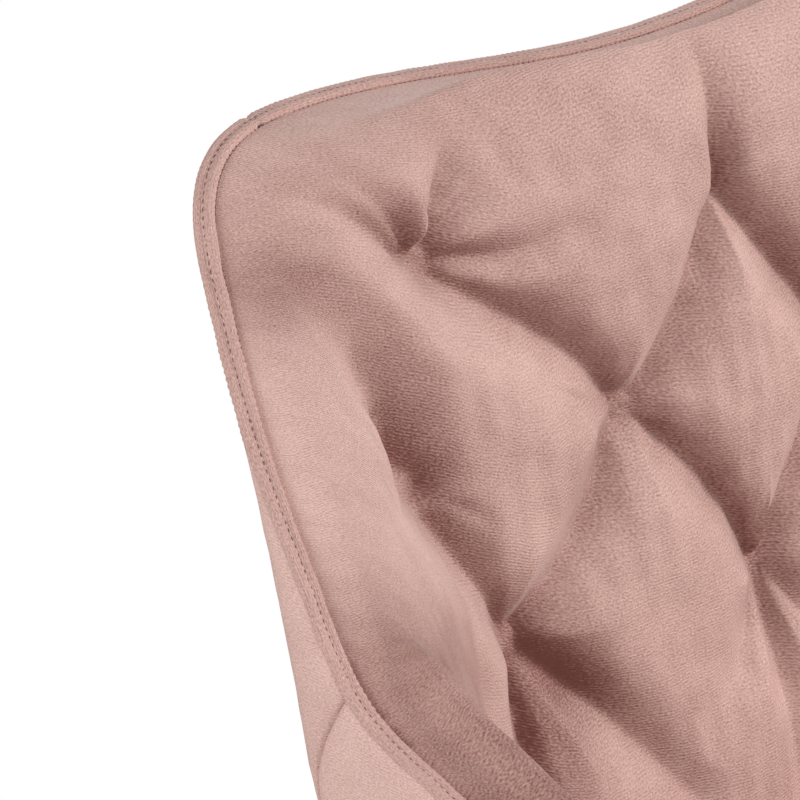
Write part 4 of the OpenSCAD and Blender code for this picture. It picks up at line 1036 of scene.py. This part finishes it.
# %% Build the stitch tree
def stitch_tree():
    """Repeats a small rounded bar along a curve, every so often, tilted by an angle."""
    tree = bpy.data.node_groups.new("stitches", "GeometryNodeTree")
    tree.interface.new_socket("Geometry", in_out="INPUT", socket_type="NodeSocketGeometry")
    for name, value in (("Spacing", 0.004), ("Length", 0.003), ("Width", 0.0008), ("Tilt", 0.0)):
        made = tree.interface.new_socket(name, in_out="INPUT", socket_type="NodeSocketFloat")
        made.default_value = value
    tree.interface.new_socket("Material", in_out="INPUT", socket_type="NodeSocketMaterial")
    tree.interface.new_socket("Geometry", in_out="OUTPUT", socket_type="NodeSocketGeometry")
    new, wire = tree.nodes.new, tree.links.new
    given, result = new("NodeGroupInput").outputs, new("NodeGroupOutput").inputs
    points = new("GeometryNodeCurveToPoints")
    points.mode = "LENGTH"
    wire(given["Geometry"], points.inputs["Curve"])
    wire(given["Spacing"], points.inputs["Length"])
    bar = new("GeometryNodeMeshIcoSphere")
    bar.inputs["Subdivisions"].default_value = 1
    bar.inputs["Radius"].default_value = 0.5
    size = new("ShaderNodeCombineXYZ")
    for axis, name in (("X", "Width"), ("Y", "Width"), ("Z", "Length")):
        wire(given[name], size.inputs[axis])
    shaped = new("GeometryNodeTransform")
    wire(bar.outputs["Mesh"], shaped.inputs["Geometry"])
    wire(size.outputs[0], shaped.inputs["Scale"])
    tilt = new("ShaderNodeCombineXYZ")
    wire(given["Tilt"], tilt.inputs["X"])
    turned = new("FunctionNodeRotateRotation")
    turned.rotation_space = "LOCAL"
    wire(points.outputs["Rotation"], turned.inputs["Rotation"])
    wire(tilt.outputs[0], turned.inputs["Rotate By"])
    spread = new("GeometryNodeInstanceOnPoints")
    wire(points.outputs["Points"], spread.inputs["Points"])
    wire(shaped.outputs["Geometry"], spread.inputs["Instance"])
    wire(turned.outputs["Rotation"], spread.inputs["Rotation"])
    real = new("GeometryNodeRealizeInstances")
    wire(spread.outputs["Instances"], real.inputs["Geometry"])
    finish = new("GeometryNodeSetMaterial")
    wire(real.outputs["Geometry"], finish.inputs["Geometry"])
    wire(given["Material"], finish.inputs["Material"])
    wire(finish.outputs["Geometry"], result["Geometry"])
    return tree


stitches = stitch_tree()
print("stitch tree:", len(stitches.nodes), "nodes")

# %% [markdown]
# The tree's result is turned into a plain mesh, so the piece can be exported and
# can ride a body. The thread is twisted, which a stretched noise suggests.

# %% Sew
thread, g, shader = start("blush_thread")
twist = g.math("SINE", g.math("MULTIPLY", g.noise(g.place(), 900.0), 40.0))
twisted = g.mix(g.spread(twist, -1.0, 1.0), (0.19, 0.10, 0.088, 1), (0.33, 0.19, 0.165, 1))
g.put(twisted, shader["Base Color"])
shader["Roughness"].default_value = 0.7
g.put(g.bump(twist, 0.0002), shader["Normal"])


def baked(thing):
    """The plain mesh that a thing's modifiers leave."""
    return bpy.data.meshes.new_from_object(
        thing.evaluated_get(bpy.context.evaluated_depsgraph_get()))


def sew(name, lines, spacing, length, width, tilt=0.0, finish="velvet", material=thread):
    """Stitches along lines of points in millimetres, as one plain mesh."""
    data = bpy.data.curves.new(name, "CURVE")
    data.dimensions = "3D"
    for line in lines:
        spline = data.splines.new("POLY")
        spline.points.add(len(line) - 1)
        weighted = np.concatenate([line * 0.001, np.ones((len(line), 1))], 1)
        spline.points.foreach_set("co", weighted.ravel())
    path = bpy.data.objects.new(name + "_path", data)
    bpy.context.collection.objects.link(path)
    modifier = path.modifiers.new("stitches", "NODES")
    modifier.node_group = stitches
    values = {"Spacing": spacing, "Length": length, "Width": width, "Tilt": tilt,
              "Material": material}
    for item in stitches.interface.items_tree:
        if item.in_out == "INPUT" and item.name in values:
            modifier[item.identifier] = values[item.name]
    bpy.context.view_layer.update()
    piece = bpy.data.objects.new(name, baked(path))
    bpy.data.objects.remove(path)
    bpy.data.curves.remove(data)
    bpy.context.collection.objects.link(piece)
    fit_out(piece, finish, material)
    print(f"{name}: {len(piece.data.polygons) // 20} stitches")
    return piece


groove = spine + (2 * cord_mm + waver * 0.5)[:, None] * across - 0.78 * outwards
inner_seam = spine + (4 * cord_mm - 0.35) * across - (cord_mm + 0.9) * outwards
sew("welt_stitches", [groove], 0.0043, 0.0026, 0.0006)
sew("seam_teeth", [inner_seam], 0.0034, 0.0026, 0.0007, tilt=1.1)

# %% [markdown]
# ## The outer covers
# Velvet is pulled tight over thin wadding on the outside of the shell. One panel
# covers the back and two the sides. Their plain seams leave the rim at the bend
# and drift back as they fall. Each edge turns in, and painted shade darkens it, so
# a seam reads as a fine line. The panels are painted a lighter tone than the inner
# cover, as a painted sheen.

# %% Stretch the outer covers
cover_mm, cover_top_mm = 6.0, 4.2
seam_q, seam_drift_mm, seam_fall_mm = 352.4, 70.0, 100.0
near_welt = np.array([0, 0.7, 1.6, 3, 5, 8, 13]) / 420


def turn_in(distance, radius, depth):
    """How far a padded edge rolls in, as a quarter circle."""
    return depth * (1 - np.sqrt(1 - (1 - np.clip(distance / radius, 0, 1)) ** 2))


def outer_panel(name, q_line, node, seed):
    """A thin padded panel over the columns of q_line, from under the welt to the hem."""
    top = inset_height(q_line, cover_top_mm)[0][:, None]
    share = np.concatenate([1 - near_welt, spaced(0.955, 0.01, 0.014), [0.006, 0.003, 0]])
    z = skirt_mm + (top - skirt_mm) * share
    q = np.broadcast_to(q_line[:, None], z.shape)
    a = np.abs(q)
    reach = np.where(a < seam_q, a / seam_q, (front_q - a) / (front_q - seam_q))
    fallen = 1 - np.exp(-np.maximum(top - z, 0) / seam_fall_mm)
    moved = q - np.sign(q) * seam_drift_mm * reach * fallen
    from_seam = np.minimum(np.abs(q - q_line[0]), np.abs(q - q_line[-1]))
    tucked = 1.3 * (1 - smooth(top - z, 0, 6)) + 1.5 * (1 - smooth(z, skirt_mm, skirt_mm + 4))
    soft = 0.5 + 0.5 * waves(moved, z, 160, seed) + 0.2 * waves(moved, z, 45, seed + 1)
    soft *= smooth(top - z, 0, 25) * smooth(from_seam, 0, 20)
    depth = turn_in(from_seam, 3, 1.9) + tucked - np.clip(soft, -0.3, 1.2) * 0.6
    rear_rows = [0, 30, -1]
    rear_q, rear_z = moved[:, rear_rows], z[:, rear_rows]
    # Painted sheen: a lighter tone than the inner cover's. Painted shade darkens it along each
    # seam, and a slow wave varies it at random.
    tone_with_painted_light = 0.72 + 0.025 * waves(moved, z, 200, seed + 2) - 0.1 * np.exp(-from_seam / 3)
    piece = make_panel(name, at_depth(moved, z, depth),
                       at_depth(rear_q, rear_z, cover_mm + 0 * rear_z),
                       pair(moved, z), pair(rear_q, rear_z), tone_with_painted_light, 65)
    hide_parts(node)


edge_steps = np.array([0, 0.4, 0.9, 1.6, 2.5, 4.0])
back_line = np.concatenate([0.3 - seam_q + edge_steps, spaced(-344, 344, 6.0),
                            seam_q - 0.3 - edge_steps[::-1]])
side_end = front_limit - 0.6
side_line = np.concatenate([seam_q + 0.3 + edge_steps, spaced(360, side_end - 8, 7.0),
                            side_end - edge_steps[::-1]])
outer_panel("outer_back", back_line, "outer_back_cover", 21)
outer_panel("outer_side_left", side_line, "outer_side_cover_left", 31)
outer_panel("outer_side_right", -side_line[::-1], "outer_side_cover_right", 41)

# %% [markdown]
# ## The front border
# The board under the cushion is covered with velvet over thin foam. It bulges a
# little in the middle, wraps its edges and ends in a stitched hem. Its edges lap
# over the ends of the shell board, so the rear is shallow there.

# %% Cover the front border
border_depth_mm, lap_depth_mm = 16.0, 3.5
lap_x_mm, main_x_mm, hem_mm = 279.0, 272.3, 15.0
edge_roll_mm, edge_radius_mm = 3.2, 4.2


def box_mm(node):
    """A node's lowest and highest corner in millimetres."""
    return (np.array(corner) * 1000 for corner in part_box(node))


low, high = box_mm("front_border")
border_edge = np.array([0, 0.8, 2.0, 3.6, 6, 9])
border_x = np.concatenate([-lap_x_mm + border_edge, spaced(-262, 262, 7.0),
                           lap_x_mm - border_edge[::-1]])
border_z = np.concatenate([low[2] + np.array([0, 0.5, 1.3, 2.4, 4]),
                           spaced(low[2] + 7, high[2] - 9, 5.0),
                           high[2] - np.array([5, 2.8, 1.2, 0.4, 0])])
bx, bz = np.meshgrid(border_x, border_z, indexing="ij")
by = front_edge_y(bz) + 2
from_side, from_low, from_high = lap_x_mm - np.abs(bx), bz - low[2], high[2] - bz
rolled = sum(turn_in(d, edge_radius_mm, edge_roll_mm) for d in (from_side, from_low, from_high))
crown = 3.2 * smooth(from_side, 0, 130) * smooth(from_low, 18, 90) * smooth(from_high, 0, 70)
hem_dent = 0.9 * np.exp(-((from_low - hem_mm) / 1.6) ** 2)
drag = 0.5 * waves(bx, bz, 120, 51) * smooth(from_side, 0, 40) * smooth(from_low, 10, 40)
relief = np.clip(rolled, 0, edge_roll_mm) - crown + hem_dent - np.clip(drag, -0.6, 0.6)
behind = np.where(np.abs(bx) > main_x_mm, lap_depth_mm, border_depth_mm)
border = make_panel("front_border_cover", np.stack([bx, by + relief, bz], -1),
                    np.stack([bx, by + behind, bz], -1), pair(bx, bz), pair(bx, bz),
                    0.5 + 0.06 * waves(bx, bz, 150, 52), 60)
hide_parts("front_border")
hem_z = low[2] + hem_mm
hem = np.array([(x, front_edge_y(hem_z) + 2.2, hem_z) for x in border_x[3:-3]])
sew("hem_stitches", [hem], 0.0045, 0.0031, 0.0008)

# %% [markdown]
# ## The seat cushion
# The cushion is a boxed foam block in velvet. Foam pushes a cover out where it
# isn't held, most of all on top. A cloth simulation does that better than a
# formula: the CAD cushion is remeshed evenly and blown up a little from inside.

# %% Blow up the cushion
voxel, pressure, last_frame = 0.0065, 4.0, 20


def points_of(mesh):
    place = np.zeros(len(mesh.vertices) * 3)
    mesh.vertices.foreach_get("co", place)
    return place.reshape(-1, 3)


cushion = bpy.data.objects.new("cushion", nodes["seat_cushion"].data.copy())
cushion.data.materials.clear()
bpy.context.collection.objects.link(cushion)
even = cushion.modifiers.new("even", "REMESH")
even.mode, even.voxel_size = "VOXEL", voxel
even_mesh, rough_mesh = baked(cushion), cushion.data
cushion.modifiers.clear()
cushion.data = even_mesh
bpy.data.meshes.remove(rough_mesh)
at_rest = blown = points_of(cushion.data)
modifier = cushion.modifiers.new("cloth", "CLOTH")
settings = modifier.settings
settings.quality, settings.mass = 6, 0.25
settings.tension_stiffness = settings.compression_stiffness = 22
settings.shear_stiffness, settings.bending_stiffness = 8, 3
settings.use_pressure, settings.uniform_pressure_force = True, pressure
settings.effector_weights.gravity = 0
modifier.point_cache.frame_start, modifier.point_cache.frame_end = 1, last_frame
for moment in range(1, last_frame + 1):
    bpy.context.scene.frame_set(moment)
made = cushion.evaluated_get(bpy.context.evaluated_depsgraph_get())
blown = points_of(made.data)
cushion.modifiers.clear()
bpy.context.scene.frame_set(1)
print("cushion:", len(at_rest), "points, simulated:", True)

# %% [markdown]
# The pads and the deck hold the cushion on all sides but the top, so movement
# towards them is taken back, and no point moves further than the cap. Broad low
# waves on top are where people have sat.

# %% Hold the cushion in its place
cap_mm, crown_mm = 13, 474

move = (blown - at_rest) * 1000
span = np.linalg.norm(move, axis=1, keepdims=True)
move *= np.minimum(1, cap_mm / np.maximum(span, 1e-6))
x, y, z = at_rest.T * 1000
free_front = smooth(-y, 322, 334)
move[:, 0] = np.where(move[:, 0] * x > 0, move[:, 0] * free_front * 0.3, move[:, 0])
move[:, 1] = np.where(move[:, 1] > 0, 0, move[:, 1] * np.where(free_front > 0, 0.6, 0))
move[:, 2] = np.where(move[:, 2] < 0, move[:, 2] * smooth(z, 330, 345), move[:, 2])
move[:, 2] *= smooth(z, 326, 350)
puffed = at_rest * 1000 + move
puffed[:, 2] += 0.8 * waves(x, y, 130, 61) * smooth(z, 462, crown_mm)
cushion.data.vertices.foreach_set("co", (puffed * 0.001).ravel())
print("cushion rises by", round(float(move[:, 2].max()), 1), "mm")

# %% [markdown]
# The cloth runs across the top and down each side in one piece, so its
# coordinates go on over the edge. One subdivision rounds the voxel steps.

# %% Cover the cushion
fall = puffed[:, 2] - crown_mm
cushion_cloth = np.stack([puffed[:, 0] - np.tanh(puffed[:, 0] / 150) * fall,
                          puffed[:, 1] + fall, 0 * fall], -1)
store_cloth(cushion.data, cushion_cloth, 0.52 + 0.06 * waves(puffed[:, 0], puffed[:, 1], 140, 62))
finer = cushion.modifiers.new("finer", "SUBSURF")
finer.levels = finer.render_levels = 1
fine_mesh = baked(cushion)
cushion.modifiers.clear()
cushion.data = fine_mesh
fine_mesh.shade_smooth()
fine_mesh.materials.clear()
fine_mesh.materials.append(None)
fit_out(cushion, "velvet")
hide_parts("seat_cushion")
print("cushion:", len(fine_mesh.polygons), "faces")

# %% [markdown]
# ### Cushion piping
# A corded piping is sewn round the top edge of the cushion's box. Rays from
# outside find the blown-up surface itself, so the cord follows every swelling.

# %% Lay the piping
piping_z_mm, piping_radius_mm, pressed_in_mm = 460, 2.3, 1.4
ring_points, cord_sides = 420, 8

tree = BVHTree.FromPolygons([v.co for v in fine_mesh.vertices],
                            [tuple(p.vertices) for p in fine_mesh.polygons])
middle = Vector((*puffed[:, :2].mean(0), piping_z_mm)) * 0.001
ring, normals = [], []
for angle in np.linspace(0, 2 * math.pi, ring_points, endpoint=False):
    way = Vector((math.cos(angle), math.sin(angle), 0))
    hit, normal, _, _ = tree.ray_cast(middle + way, -way)
    ring.append(np.array(hit) * 1000)
    normals.append(np.array(normal))
ring = np.array(ring)
for _ in range(4):
    ring = (np.roll(ring, 1, 0) + 2 * ring + np.roll(ring, -1, 0)) / 4
ring += np.array(normals) * (piping_radius_mm - pressed_in_mm)
way = unit(np.roll(ring, -1, 0) - np.roll(ring, 1, 0))
side = unit(np.cross(way, [0, 0, 1]))
up = np.cross(side, way)
turns = np.linspace(0, 2 * math.pi, cord_sides + 1)[:-1, None]
round_cord = np.cos(turns) * side[:, None] + np.sin(turns) * up[:, None]
points = ring[:, None] + piping_radius_mm * round_cord
numbers = grid_numbers(points)
faces = []
for a, b in zip(numbers, np.roll(numbers, -1, 0)):
    faces += strip(a, b, closed=True)
steps = np.linalg.norm(np.diff(ring, axis=0, append=ring[:1]), axis=1)
run = np.cumsum(steps) - steps
make_piece("cushion_piping", points.reshape(-1, 3), faces,
           pair(run[:, None], np.linspace(0, 14, cord_sides)).reshape(-1, 2), 0.55, fold=80)
print("piping:", round(steps.sum()), "mm round the cushion")

# %% [markdown]
# ## Under the seat
# A black dust cover closes the underside. It is a flat sheet of spun cloth,
# stretched under the rails, so it only sags a little between them. Above the
# springs a felt pad keeps the cushion off the wires.

# %% Stretch the dust cover and the felt
def flat_sheet(name, node, top_z, step, sag, thick, finish, seed):
    """A stretched sheet that sags between its edges, and its flat size in metres."""
    low, high = box_mm(node)
    x, y = np.meshgrid(spaced(low[0], high[0], step), spaced(low[1], high[1], step), indexing="ij")
    u, v = (x - low[0]) / (high[0] - low[0]), (y - low[1]) / (high[1] - low[1])
    hang = sag * (16 * u * (1 - u) * v * (1 - v)) ** 0.7 * (1 + 0.15 * waves(x, y, 90, seed))
    top = np.stack([x, y, top_z - hang], -1)
    numbers = grid_numbers(top)
    top = top.reshape(-1, 3)
    piece = make_piece(name, np.concatenate([top, top - [0, 0, thick]]),
                       sheet_faces(numbers, numbers + numbers.size), fold=50, finish=finish)
    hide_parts(node)
    return piece, (high[0] - low[0]) * 0.001, (high[1] - low[1]) * 0.001


dust, wide, deep = flat_sheet("dust_sheet", "dust_cover", 249.6, 9.0, 2.6, 0.6, "dust_cloth", 71)
felt, _, _ = flat_sheet("felt_pad", "spring_cover", 325.4, 9.0, 0.3, 4.3, "felt", 72)

# %% [markdown]
# ### Staples
# Staples hold the dust cover along the middle of each rail's edge. They repeat
# along four lines, so the stitch tree lays them too, in zinc.

# %% Staple the dust cover
staple_inset_mm, staple_z_mm = 7, 248.75

low, high = box_mm("dust_cover")
left, front = low[:2] + staple_inset_mm
right, rear = high[:2] - staple_inset_mm
loop = [(left, front), (right, front), (right, rear), (left, rear), (left, front)]
staple_lines = [np.array([(*a, staple_z_mm), (*b, staple_z_mm)]) for a, b in zip(loop, loop[1:])]
sew("dust_staples", staple_lines, 0.038, 0.010, 0.0009, finish="zinc_steel",
    material=finishes["zinc_steel"])
